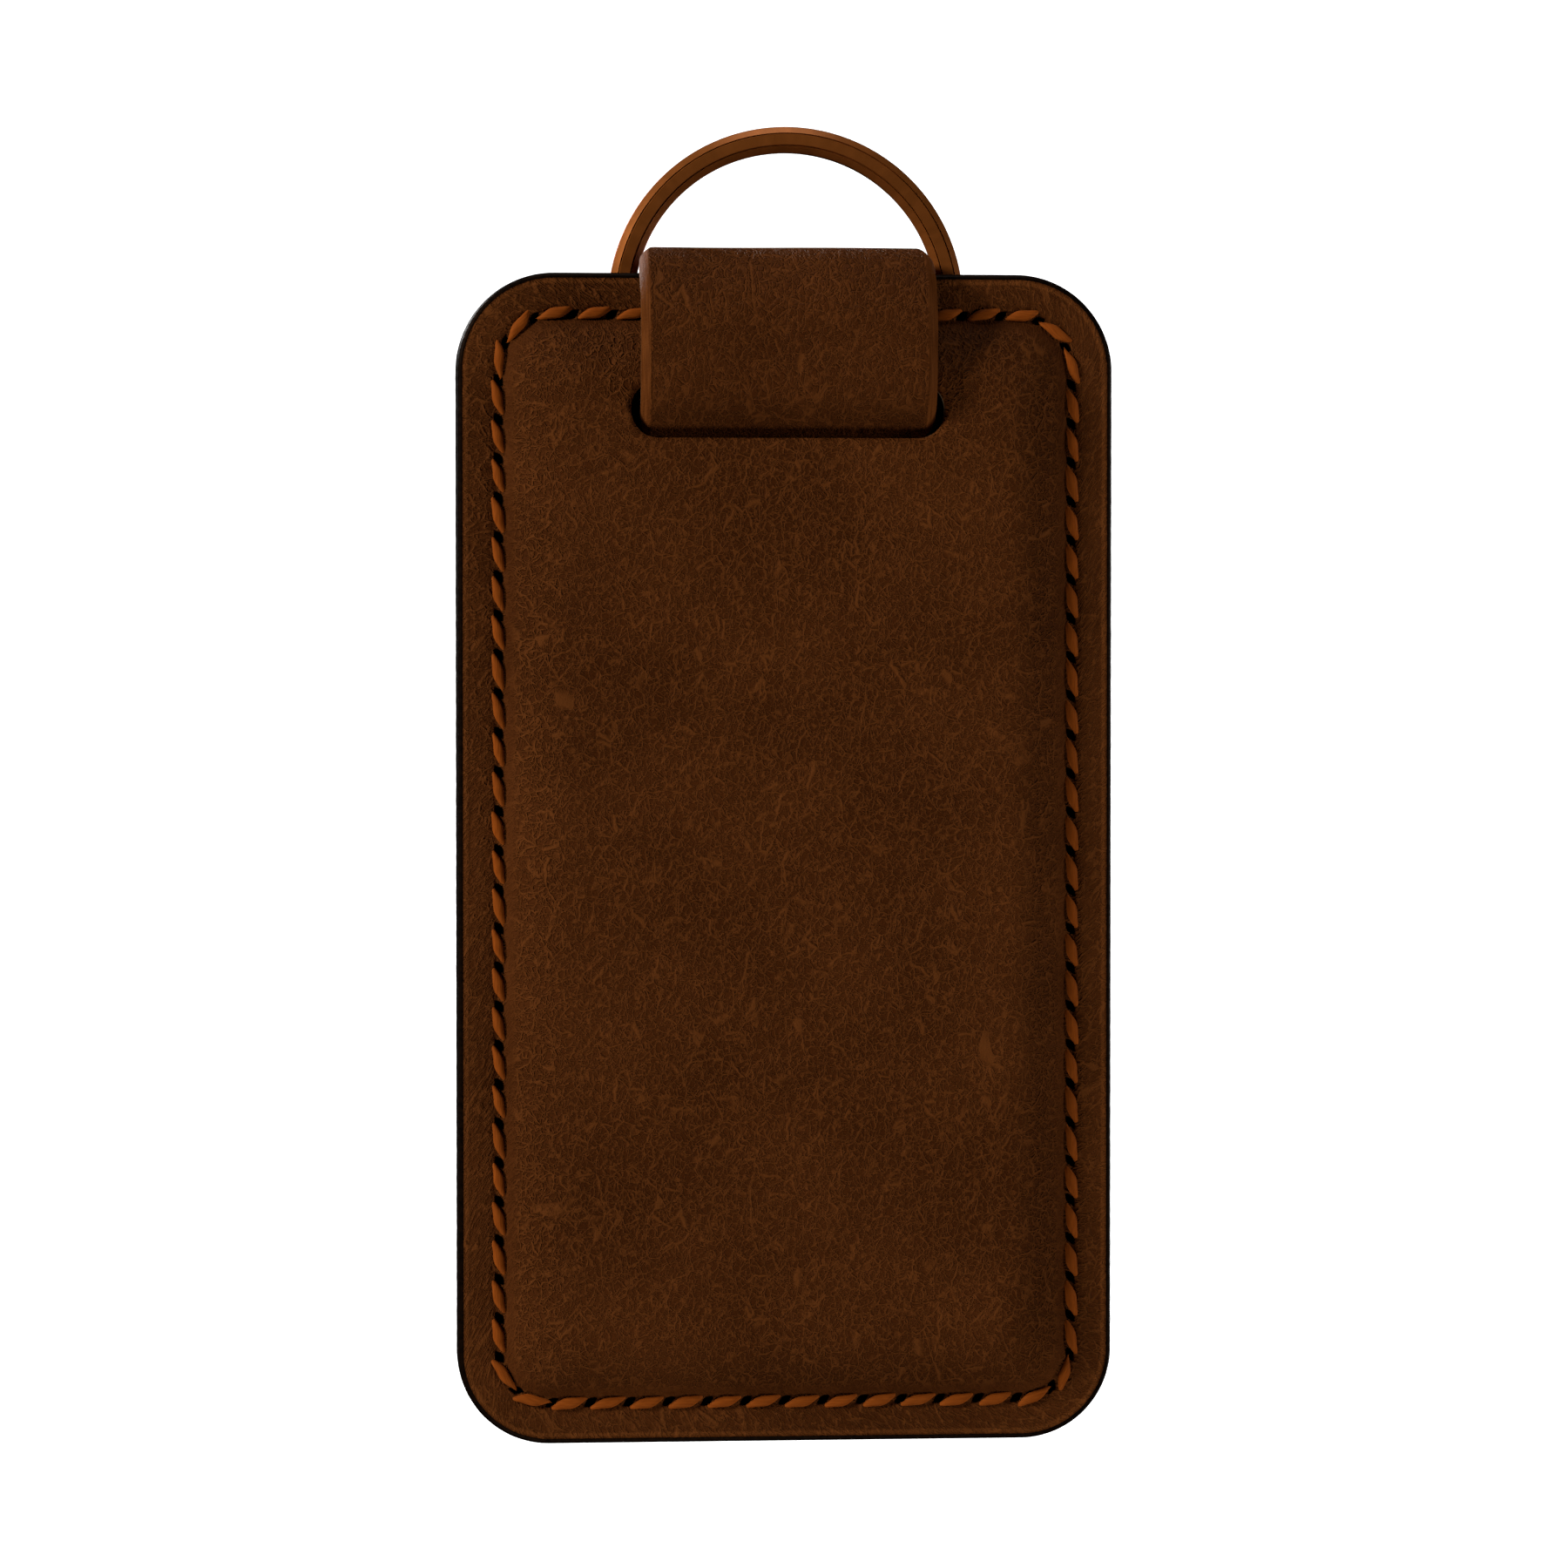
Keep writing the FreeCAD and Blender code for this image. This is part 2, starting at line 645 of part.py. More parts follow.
def tab_layer(name, near, thickness):
    """One layer of the tab, from its hinge line down to its rounded end."""
    body = new_body(name)
    sketch = new_sketch(body, name + "_outline", "XZ_Plane", -near)
    neck = d["neck_width"] / 2
    edge = d["strap_width"] / 2
    top = -d["tab_gap"] / 2
    widen = -d["neck_end"]
    wide = -d["neck_end"] - d["neck_run"]
    end = -d["tab_length"]
    draw_outline(sketch, [(neck, top), (-neck, top), (-neck, widen), (-edge, wide), (-edge, end),
                          (edge, end), (edge, wide), (neck, widen)])
    draw_circle(sketch, -d["snap_drop"], d["snap_hole"])
    feature = pad(body, sketch, thickness, backwards=True)
    corners = []
    for number, solid_edge in enumerate(feature.Shape.Edges, start=1):
        low, high = solid_edge.Vertexes[0].Point, solid_edge.Vertexes[-1].Point
        if abs(low.y - high.y) > TOUCH and abs(low.z - end.value) < TOUCH:
            corners.append("Edge%d" % number)
    finish_edges(body, feature, "Fillet", corners, d["tab_corner"])
    put_on_tab(body)
    return body


def make_tab():
    lining = tab_layer("strap_tab_lining", as_size(0), d["strap_lining"])
    leather = tab_layer("strap_tab_leather", d["strap_lining"], d["strap_leather"])
    return [leather, lining]


# ---------------------------------------------------------------- the press snap

def make_snap():
    thick = strap_thickness
    floor = d["socket_floor"]
    cap = new_body("snap_cap")
    revolve(cap, "snap_cap", [
        (-floor, 0), (-floor, d["snap_post"]), (thick, d["snap_post"]), (thick, d["cap_radius"]),
        (thick + d["cap_rim"], d["cap_radius"]), (thick + d["cap_shoulder"], d["shoulder_radius"]),
        (thick + d["cap_height"], d["crown_radius"]), (thick + d["cap_height"], 0)])
    socket = new_body("snap_socket")
    revolve(socket, "snap_socket", [
        (0, d["snap_hole"]), (0, d["socket_radius"]), (-d["socket_height"], d["socket_radius"]),
        (-d["socket_height"], d["socket_bore"]), (-floor, d["socket_bore"]), (-floor, d["snap_hole"])])
    stud = new_body("snap_stud")
    face = case_face
    top = face + d["stud_height"]
    revolve(stud, "snap_stud", [
        (face, d["snap_hole"]), (face, d["stud_base"]), (face + d["stud_base_height"], d["stud_base"]),
        (face + d["stud_base_height"], d["stud_neck"]), (face + d["stud_neck_height"], d["stud_neck"]),
        (face + d["stud_neck_height"] + d["stud_flare"], d["stud_head"]),
        (top - d["stud_bevel_height"], d["stud_head"]), (top, d["stud_head"] - d["stud_bevel_width"]),
        (top, d["snap_hole"])])
    post = new_body("snap_post")
    post_end = top - d["post_sink"]
    revolve(post, "snap_post", [
        (lining_face, 0), (lining_face, d["post_flange"]), (stiffener_face, d["post_flange"]),
        (stiffener_face, d["snap_post"]), (post_end, d["snap_post"]), (post_end, 0)])
    for body in (cap, socket):
        put_on_tab(body, d["snap_drop"])
    for body in (stud, post):
        put_in_frame(body, height=snap_height)
    return [cap, socket, stud, post]


# ---------------------------------------------------------------- the ring

def make_ring():
    """A cast D-ring: a flat bow with bevelled edges and a straight bar behind the case's top."""
    body = new_body("d_ring")
    sketch = new_sketch(body, "d_ring_outline", "XZ_Plane")
    half_bar = d["ring_wall"] / 2
    for radius, bar in ((d["ring_inside"] + d["ring_wall"], d["bar_height"] - half_bar),
                        (d["ring_inside"], d["bar_height"] + half_bar)):
        draw_bow(sketch, radius, bar)
    ring = pad(body, sketch, d["ring_thickness"], symmetric=True)
    outer = (d["bar_height"] - half_bar).value
    corners = []
    for number, edge in enumerate(ring.Shape.Edges, start=1):
        ends = [vertex.Point for vertex in edge.Vertexes]
        if len(ends) == 2 and abs(ends[0].y - ends[1].y) > TOUCH and abs(ends[0].z - outer) < TOUCH:
            corners.append("Edge%d" % number)
    rounded = finish_edges(body, ring, "Fillet", corners, d["ring_corner"])
    half_thick = d["ring_thickness"].value / 2
    rims = edges_where(rounded, lambda point: abs(abs(point.y) - half_thick) < TOUCH)
    finish_edges(body, rounded, "Chamfer", rims, d["ring_bevel"])
    put_in_frame(body, depth=ring_plane)
    return body


def draw_bow(sketch, radius, bar):
    """An arc of this radius about the bow's centre, closed by a straight bar."""
    centre = flat_point(0, d["ring_centre"])
    drop = d["ring_centre"].value - bar.value
    angle = math.asin(drop / radius.value)
    circle = Part.Circle(centre, Vector(0, 0, 1), radius.value)
    arc_shape = Part.ArcOfCircle(circle, -angle, math.pi + angle)
    arc = sketch.addGeometry(arc_shape, False)
    line = sketch.addGeometry(Part.LineSegment(arc_shape.EndPoint, arc_shape.StartPoint), False)
    relate(sketch, "Coincident", arc, 2, line, 1)
    relate(sketch, "Coincident", line, 2, arc, 1)
    relate(sketch, "Horizontal", line)
    relate(sketch, "PointOnObject", arc, 3, -2)
    drive(sketch, "DistanceY", (-1, 1, arc, 3), d["ring_centre"])
    drive(sketch, "DistanceY", (-1, 1, line, 1), bar)
    drive(sketch, "Radius", (arc,), radius)


# ---------------------------------------------------------------- build and export

def check_document():
    for item in doc.Objects:
        if "Invalid" in item.State or "Error" in item.State:
            raise RuntimeError("%s failed: %s" % (item.Name, item.getStatusString()))


def export(pieces):
    os.makedirs("parts", exist_ok=True)
    for piece in pieces:
        shape = piece.Shape
        if shape.isNull() or not shape.isValid():
            raise RuntimeError("%s has no valid shape" % piece.Label)
        shape.exportStep(os.path.join("parts", piece.Label + ".step"))
        print("%-22s solids %3d  volume %9.2f" % (piece.Label, len(shape.Solids), shape.Volume))


case_layers = make_front() + make_back() + [make_welt()]
threads = make_stitching()
front_strap = make_front_strap()
for part in case_layers + front_strap:
    put_in_frame(part)
tab = make_tab()
snap = make_snap()
ring = make_ring()
doc.recompute()
check_document()
export(case_layers + threads + front_strap + tab + snap + [ring])
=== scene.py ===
import math

import bpy
import numpy as np
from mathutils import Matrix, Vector
from mathutils.geometry import delaunay_2d_cdt


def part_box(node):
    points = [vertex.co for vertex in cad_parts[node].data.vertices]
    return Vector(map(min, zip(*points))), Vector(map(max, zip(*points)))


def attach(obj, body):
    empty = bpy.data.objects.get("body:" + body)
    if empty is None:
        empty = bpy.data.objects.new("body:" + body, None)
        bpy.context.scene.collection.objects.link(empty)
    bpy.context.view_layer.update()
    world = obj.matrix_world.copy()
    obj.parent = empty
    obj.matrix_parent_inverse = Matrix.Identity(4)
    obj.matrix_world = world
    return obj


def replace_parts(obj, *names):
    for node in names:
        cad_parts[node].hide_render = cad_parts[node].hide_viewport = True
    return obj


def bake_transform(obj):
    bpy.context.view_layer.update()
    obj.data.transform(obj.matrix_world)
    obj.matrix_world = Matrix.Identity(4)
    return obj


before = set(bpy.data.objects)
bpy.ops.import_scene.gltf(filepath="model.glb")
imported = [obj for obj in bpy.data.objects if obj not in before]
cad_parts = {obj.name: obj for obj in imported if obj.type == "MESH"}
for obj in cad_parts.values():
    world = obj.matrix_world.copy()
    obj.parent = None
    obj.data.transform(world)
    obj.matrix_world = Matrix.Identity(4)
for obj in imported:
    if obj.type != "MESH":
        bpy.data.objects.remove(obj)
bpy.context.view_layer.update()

# Business card case: the looks. Shapes are worked out in millimetres on the case's own axes, which
# start at the middle of its bottom edge on the seam's middle plane, and are moved to the row frame
# in place(). +X is the width, the domed front faces -Y, +Z is up. An inset is a distance in from the
# case's outline. A rounded rectangle is (half width, low edge, high edge, corner radius).

MM = 0.001
WIDTH, HEIGHT = 65.0, 115.7
HALF = WIDTH / 2
TOP_CORNER, BOTTOM_CORNER = 9.6, 9.0
LEATHER, STIFFENER, LINING, WELT = 1.2, 0.5, 0.3, 1.2
LINING_FACE = WELT / 2 + LINING
STIFFENER_FACE = LINING_FACE + STIFFENER
CASE_FACE = STIFFENER_FACE + LEATHER
DOME_RISE, DOME_FOOT, DOME_CREST, CREST_CORNER = 3.2, 4.6, 9.6, 4.0
DOME_RUN = DOME_CREST + 1.3 - DOME_FOOT
LAYER_SHIFT = 0.29
SEAM_SLANT = 0.78
RIM = 0.7
SLOT = (15.5, 99.4, 105.0, 2.7)
SLOT_LIP = 0.6
WINDOW = (27.3, 70.0, 97.0, 3.0)
WINDOW_LIP = 0.5
EDGE_CREASE_INSET, EDGE_CREASE_WIDTH, EDGE_CREASE_DEPTH = 1.25, 0.22, 0.05

STITCH_INSET, STITCH_PITCH = 4.0, 3.88
STITCH_HALF_LENGTH, STITCH_HALF_WIDTH, STITCH_HALF_THICK = 1.98, 0.53, 0.30
HOLE_LEAN, HOLE_HALF_LENGTH, HOLE_HALF_WIDTH, HOLE_REACH = 34.0, 0.74, 0.44, 1.3
HOLE_AHEAD, HOLE_ASIDE = 0.22, 0.10
PRESS_WIDTH, PRESS_REACH = 0.55, 2.6
GROOVE_WIDTH, SEAM_REACH = 0.6, 1.6
MOUTH_ROW, MOUTH_STITCHES = 67.6, 12

STRAP_LINING, STRAP_THICK = 0.8, 2.0
LAYER_GAP = 0.02
STRAP_HALF, NECK_HALF = 14.6, 13.8
FOLD_INNER, FOLD_HEIGHT = 5.8, 110.6
TAIL_DEPTH, TAIL_LOW, TAIL_HIGH = 1.72, 91.5, 98.6
LEG_LOW = 106.2
TAB_TOP, TAB_LENGTH, TAB_SLOPE, TAB_CORNER = 109.0, 55.0, math.radians(0.83), 9.0
STRAP_STEP = 0.42
SNAP_DROP = 47.0

RING_RADIUS, RING_WALL, RING_THICK, RING_BEVEL = 16.5, 2.6, 2.4, 0.7
RING_CORNER, RING_SOFT, RING_GROOVE = 1.6, 0.09, 0.22
RING_SLIDE = 0.55
RING_PLANE, RING_CENTRE, RING_BAR = 4.2, 112.9, 111.0

welt_low, welt_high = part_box("seam_welt")
SHIFT = np.array([0.0, (welt_low[1] + welt_high[1]) / 2, welt_low[2]])
rng = np.random.default_rng(7)


def place(points):
    """Points in millimetres on the case's own axes, in metres in the row frame."""
    return np.asarray(points, float) * MM + SHIFT


def smooth(low, high, value):
    """A smooth step from 0 where value is low to 1 where it is high."""
    t = np.clip((np.asarray(value, float) - low) / (high - low), 0, 1)
    return t * t * (3 - 2 * t)


def ripple(x, z, size, seed):
    """Gentle unevenness of a surface, about -1 to 1, with waves of about this size."""
    phases = np.random.default_rng(seed)
    total = np.zeros(np.broadcast(x, z).shape)
    for _ in range(5):
        angle, phase, stretch = phases.uniform(0, math.pi), phases.uniform(0, 6.28), phases.uniform(0.7, 1.6)
        total += np.sin((x * math.cos(angle) + z * math.sin(angle)) * 6.28 / (size * stretch) + phase)
    return total / 3


# ---------------------------------------------------------------- meshes

def add_mesh(name, points, faces, material, attributes=None, sharp=40):
    """A smooth-shaded mesh object whose edges stay crisp above sharp degrees. attributes gives the
    materials one number or one vector for each point."""
    mesh = bpy.data.meshes.new(name)
    mesh.from_pydata([tuple(point) for point in place(points)], [], [tuple(face) for face in faces])
    mesh.update()
    for key, values in (attributes or {}).items():
        values = np.asarray(values, np.float32)
        if values.ndim == 2:
            mesh.attributes.new(key, "FLOAT_VECTOR", "POINT").data.foreach_set("vector", values.ravel())
        else:
            mesh.attributes.new(key, "FLOAT", "POINT").data.foreach_set("value", values)
    mesh.polygons.foreach_set("use_smooth", [True] * len(mesh.polygons))
    mesh.set_sharp_from_angle(angle=math.radians(sharp))
    mesh.materials.append(material)
    piece = bpy.data.objects.new(name, mesh)
    bpy.context.scene.collection.objects.link(piece)
    return piece


def grid_faces(rows, columns, offset=0, close_rows=False, close_columns=False):
    """Four-cornered faces between rows of points, closed into a tube or ring where asked."""
    faces = []
    for row in range(rows if close_rows else rows - 1):
        below, above = row, (row + 1) % rows
        for column in range(columns if close_columns else columns - 1):
            following = (column + 1) % columns
            faces.append((offset + below * columns + column, offset + below * columns + following,
                          offset + above * columns + following, offset + above * columns + column))
    return faces


def rounded_loop(half, low, high, low_radius, high_radius, counts):
    """Points round a rounded rectangle, anticlockwise seen from the front, with counts points on the
    level runs, the upright runs and the corners."""
    across, upright, bend = counts
    low_radius, high_radius = max(low_radius, 1e-3), max(high_radius, 1e-3)
    x, z = [], []

    def run(start, end, count):
        t = np.arange(count) / count
        x.extend(start[0] + (end[0] - start[0]) * t)
        z.extend(start[1] + (end[1] - start[1]) * t)

    def arc(centre, radius, angle):
        turn = np.radians(angle) + np.arange(bend) / bend * math.pi / 2
        x.extend(centre[0] + radius * np.cos(turn))
        z.extend(centre[1] + radius * np.sin(turn))

    run((low_radius - half, low), (half - low_radius, low), across)
    arc((half - low_radius, low + low_radius), low_radius, -90)
    run((half, low + low_radius), (half, high - high_radius), upright)
    arc((half - high_radius, high - high_radius), high_radius, 0)
    run((half - high_radius, high), (high_radius - half, high), across)
    arc((high_radius - half, high - high_radius), high_radius, 90)
    run((-half, high - high_radius), (-half, low + low_radius), upright)
    arc((low_radius - half, low + low_radius), low_radius, 180)
    return np.array(x), np.array(z)


def corner_radius(radius, inset):
    """The outline's corner radius at this inset: parallel up to the dome's foot, then on to its crest's."""
    if inset <= DOME_FOOT:
        return radius - inset
    t = min((inset - DOME_FOOT) / (DOME_CREST - DOME_FOOT), 1)
    return (radius - DOME_FOOT) * (1 - t) + CREST_CORNER * t


def case_loop(inset, counts):
    return rounded_loop(HALF - inset, inset, HEIGHT - inset, corner_radius(BOTTOM_CORNER, inset),
                        corner_radius(TOP_CORNER, inset), counts)


def loop_distance(x, z):
    """Distance of each point along a closed loop from its first point."""
    steps = np.hypot(np.roll(x, -1) - x, np.roll(z, -1) - z)
    return np.concatenate([[0], np.cumsum(steps)[:-1]])


def outside_of(x, z, shape):
    """Distance outside a rounded rectangle (half width, low, high, radius); negative inside it."""
    half, low, high, radius = shape
    across = np.abs(x) - half + radius
    up = np.abs(z - (low + high) / 2) - (high - low) / 2 + radius
    outside = np.hypot(np.maximum(across, 0), np.maximum(up, 0))
    return outside + np.minimum(np.maximum(across, up), 0) - radius


# ---------------------------------------------------------------- stitch line

# Dense points along the stitch line and the distance to each.
LINE_X, LINE_Z = case_loop(STITCH_INSET, (400, 800, 90))
LINE_AT = loop_distance(LINE_X, LINE_Z)
LINE_LENGTH = LINE_AT[-1] + math.hypot(LINE_X[0] - LINE_X[-1], LINE_Z[0] - LINE_Z[-1])
STITCHES = round(LINE_LENGTH / STITCH_PITCH)


def on_line(distance):
    """Place and heading on the stitch line."""
    at = np.append(LINE_AT, LINE_LENGTH)
    x, z = np.append(LINE_X, LINE_X[0]), np.append(LINE_Z, LINE_Z[0])
    behind, here, ahead = (
        np.array([np.interp(place_on % LINE_LENGTH, at, x), np.interp(place_on % LINE_LENGTH, at, z)])
        for place_on in (distance - 0.3, distance, distance + 0.3))
    along = ahead - behind
    return here, math.atan2(along[1], along[0])


STITCH_PLACES = [on_line(LINE_LENGTH * (number + 0.5) / STITCHES) for number in range(STITCHES)]
HOLE_PLACES = [on_line(LINE_LENGTH * number / STITCHES) for number in range(STITCHES)]
MOUTH_PLACES = [(np.array([(number + 0.5 - MOUTH_STITCHES / 2) * STITCH_PITCH, MOUTH_ROW]), 0.0)
                for number in range(MOUTH_STITCHES)]
MOUTH_HOLES = [(np.array([(number - MOUTH_STITCHES / 2) * STITCH_PITCH, MOUTH_ROW]), 0.0)
               for number in range(MOUTH_STITCHES + 1)]


def needle_holes(x, z, places, mirror=1):
    """How deep in a needle hole each point is, from 0 to 1."""
    deep = np.zeros(x.shape)
    for (here_x, here_z), heading in places:
        near = np.flatnonzero((np.abs(x - here_x) < HOLE_REACH) & (np.abs(z - here_z) < HOLE_REACH))
        if not len(near):
            continue
        ahead, aside = HOLE_AHEAD, mirror * HOLE_ASIDE
        right = x[near] - here_x - ahead * math.cos(heading) + aside * math.sin(heading)
        up = z[near] - here_z - ahead * math.sin(heading) - aside * math.cos(heading)
        lean = heading + mirror * math.radians(HOLE_LEAN)
        along = np.abs(right * math.cos(lean) + up * math.sin(lean))
        side = np.abs(up * math.cos(lean) - right * math.sin(lean))
        away = (along / HOLE_HALF_LENGTH) ** 1.2 + (side / HOLE_HALF_WIDTH) ** 1.2
        deep[near] = np.maximum(deep[near], smooth(1.2, 0.65, away))
    return deep


def thread_press(x, z, places):
    """How far the leather is pulled in under each stitch, from 0 to 1."""
    pressed = np.zeros(x.shape)
    for (here_x, here_z), heading in places:
        near = np.flatnonzero((np.abs(x - here_x) < PRESS_REACH) & (np.abs(z - here_z) < PRESS_REACH))
        right, up = x[near] - here_x, z[near] - here_z
        along = right * math.cos(heading) + up * math.sin(heading)
        side = up * math.cos(heading) - right * math.sin(heading)
        hollow = np.exp(-(side / PRESS_WIDTH) ** 2) * smooth(2.1, 1.2, np.abs(along))
        pressed[near] = np.maximum(pressed[near], hollow)
    return pressed


# ---------------------------------------------------------------- the case's panels

def round_over(away, radius):
    """How far a rounded edge of this radius falls away at this distance from the edge."""
    t = np.clip(1 - np.asarray(away, float) / radius, 0, 1)
    return radius * (1 - np.sqrt(1 - t * t))


def dome(inset, depth):
    """How far the dome stands out at this distance from the edge, for the layer at this depth."""
    t = np.clip((inset - DOME_FOOT - LAYER_SHIFT * depth) / DOME_RUN, 0, 1)
    return DOME_RISE * (1 - (1 - t) ** 2.0) * smooth(0, 0.06, t) ** 0.5


def seam_distance(x, z, inset):
    """Distance along the seam for a ring of points, from behind the strap at the top middle. It is
    slanted, so that the wrinkles across the seam are."""
    distance = loop_distance(x, z)
    top = int(np.argmax(z + (np.abs(x) < 0.3)))
    distance = (distance - distance[top]) % (distance[-1] + 0.2)
    return distance / distance.max() * LINE_LENGTH + SEAM_SLANT * inset


def panel_middle(ring, hull, holes, step):
    """Triangles that fill a ring of points round its holes. It returns the points, the triangles and
    (first point, count) for the edge of each hole."""
    ring_x, ring_z = ring
    size = len(ring_x)
    points_x, points_z = list(ring_x), list(ring_z)
    edges = [(number, (number + 1) % size) for number in range(size)]
    loops = []
    for half, low, high, radius, lips, counts in holes:
        for lip in reversed(lips):
            x, z = rounded_loop(half + lip, low - lip, high + lip, radius + lip, radius + lip, counts)
            first = len(points_x)
            points_x.extend(x)
            points_z.extend(z)
            edges += [(first + number, first + (number + 1) % len(x)) for number in range(len(x))]
        loops.append((first, len(x)))
    grid_x, grid_z = np.meshgrid(np.arange(-HALF, HALF, step), np.arange(0, HEIGHT, step))
    grid_x, grid_z = grid_x.ravel() + step * 0.31, grid_z.ravel() + step * 0.17
    keep = outside_of(grid_x, grid_z, hull) < -step * 0.6
    for *shape, lips, _ in holes:
        keep &= outside_of(grid_x, grid_z, shape) > lips[-1] + step * 0.5
    points_x.extend(grid_x[keep])
    points_z.extend(grid_z[keep])
    found = delaunay_2d_cdt([Vector(pair) for pair in zip(points_x, points_z)], edges, [], 0, 1e-6)
    origin = [items[0] for items in found[3]]
    points_x, points_z = np.array(points_x), np.array(points_z)
    inside = []
    for face in found[2]:
        corners = [origin[number] for number in face]
        middle_x, middle_z = points_x[corners].mean(), points_z[corners].mean()
        in_hole = any(outside_of(middle_x, middle_z, hole[:4]) < 0 for hole in holes)
        if outside_of(middle_x, middle_z, hull) <= 0 and not in_hole:
            inside.append(corners)
    return points_x, points_z, inside, loops


def panel(name, front, back, insets, back_insets, counts, holes, step, material, extra=None):
    """One layer of the case as a closed mesh: rings that follow its outline, and triangles within
    them. front and back give the depth of its two faces for (x, z, inset); back_insets are the rings
    that the back face keeps; each hole is (*rounded rectangle, lip insets, point counts)."""
    rings = [case_loop(inset, counts) for inset in insets]
    along = [seam_distance(*ring, inset) for ring, inset in zip(rings, insets)]
    last_ring, last_along, inner = rings[-1], along[-1], insets[-1]
    size = len(last_ring[0])
    hull = (HALF - inner, inner, HEIGHT - inner, corner_radius(BOTTOM_CORNER, inner))
    middle_x, middle_z, inside, loops = panel_middle(last_ring, hull, holes, step)

    # The last ring is the first part of the triangulated middle, so it isn't repeated.
    all_x = np.concatenate([x for x, _ in rings[:-1]] + [middle_x])
    all_z = np.concatenate([z for _, z in rings[:-1]] + [middle_z])
    middle_inset = inner - outside_of(middle_x, middle_z, hull)
    middle_inset[:size] = inner
    all_inset = np.concatenate([np.repeat(np.array(insets[:-1], float), size), middle_inset])
    kept = [number for number, inset in enumerate(insets[:-1]) if inset in back_insets]
    front_start, back_start, total = size * (len(insets) - 1), size * len(kept), len(all_x)
    back_index = np.concatenate([np.arange(number * size, (number + 1) * size) for number in kept]
                                + [np.arange(front_start, total)])
    front_y = front(all_x, all_z, all_inset)
    back_y = back(all_x[back_index], all_z[back_index], all_inset[back_index])
    points = np.vstack([np.column_stack([all_x, front_y, all_z]),
                        np.column_stack([all_x[back_index], back_y, all_z[back_index]])])

    faces = grid_faces(len(insets), size, close_columns=True)
    faces += [tuple(front_start + corner for corner in face) for face in inside]
    back_faces = grid_faces(len(kept) + 1, size, close_columns=True)
    back_faces += [tuple(back_start + corner for corner in face) for face in inside]
    faces += [tuple(total + corner for corner in reversed(face)) for face in back_faces]
    faces += [(number, total + number, total + (number + 1) % size, (number + 1) % size)
              for number in range(size)]
    for first, count in loops:
        for number in range(count):
            here, following = first + number, first + (number + 1) % count
            faces.append((front_start + following, total + back_start + following,
                          total + back_start + here, front_start + here))

    angle = np.unwrap(np.arctan2(last_ring[0], HEIGHT / 2 - last_ring[1]))
    turned_to = np.arctan2(middle_x, HEIGHT / 2 - middle_z) % (2 * math.pi)
    turned_to[turned_to > angle[-1]] -= 2 * math.pi
    middle_along = last_along[np.searchsorted(angle, turned_to) % size]
    middle_along[:size] = last_along
    all_along = np.concatenate(along[:-1] + [middle_along])
    index = np.concatenate([np.arange(total), back_index])
    attributes = {
        "flat_at": np.column_stack([all_x[index], all_z[index], np.zeros(len(index))]),
        "seam_at": np.column_stack([all_along[index], all_inset[index], np.zeros(len(index))]),
        "inset": all_inset[index],
    }
    shown = np.concatenate([np.ones(total), np.zeros(len(back_index))])
    for key, function in (extra or {}).items():
        attributes[key] = function(all_x[index], all_z[index], all_inset[index]) * shown
    return add_mesh(name, points, faces, material, attributes)


FRONT_INSETS = ([0, 0.02, 0.06, 0.13, 0.22, 0.34, 0.5, 0.7, 0.85, 1.0, 1.15, 1.3, 1.5, 1.8, 2.2, 2.6, 2.9]
                + [round(3.1 + 0.155 * number, 3) for number in range(14)]
                + [5.3, 5.5, 5.75, 6.0, 6.4, 6.8, 7.3, 7.8, 8.3, 8.8])
BACK_INSETS = FRONT_INSETS[:28]
LIPS = [0, 0.03, 0.09, 0.18, 0.3, 0.45, 0.65, 0.9, 1.3]


def hole_lip(x, z, shape, radius):
    return round_over(outside_of(x, z, shape), radius)


def seam_relief(x, z, inset, groove, press, hole, mirror=1):
    """What the sewing takes out of a face: its groove, the thread's pull, the needle holes and the
    crease along the edge."""
    relief = groove * np.exp(-((inset - STITCH_INSET) / GROOVE_WIDTH) ** 2)
    seam = np.abs(inset - STITCH_INSET) < SEAM_REACH
    relief[seam] += press * thread_press(x[seam], z[seam], STITCH_PLACES)
    relief[seam] += hole * needle_holes(x[seam], z[seam], HOLE_PLACES, mirror)
    return relief + EDGE_CREASE_DEPTH * np.exp(-((inset - EDGE_CREASE_INSET) / EDGE_CREASE_WIDTH) ** 2)


def front_face(x, z, inset):
    y = CASE_FACE + dome(inset, 0) - round_over(inset, RIM) - hole_lip(x, z, SLOT, SLOT_LIP)
    bulge = 0.05 * ripple(x, z, 26, 3) * smooth(5, 11, inset)
    margin = 0.02 * ripple(x, z, 5, 4) * smooth(0.9, 2, inset) * smooth(5, 4.6, inset)
    return -(y + bulge + margin - seam_relief(x, z, inset, 0.10, 0.09, 0.6))


def layer(depth):
    return lambda x, z, inset: -(CASE_FACE - depth + dome(inset, depth))


def flat_face(level):
    return lambda x, z, inset: np.full(x.shape, level)


def back_face(x, z, inset):
    y = CASE_FACE - round_over(inset, RIM) - hole_lip(x, z, WINDOW, WINDOW_LIP)
    mouth = 0.10 * thread_press(x, z, MOUTH_PLACES) + 0.5 * needle_holes(x, z, MOUTH_HOLES, -1)
    return y + 0.03 * ripple(x, z, 22, 8) - mouth - seam_relief(x, z, inset, 0.08, 0.12, 0.6, -1)


# ---------------------------------------------------------------- thread

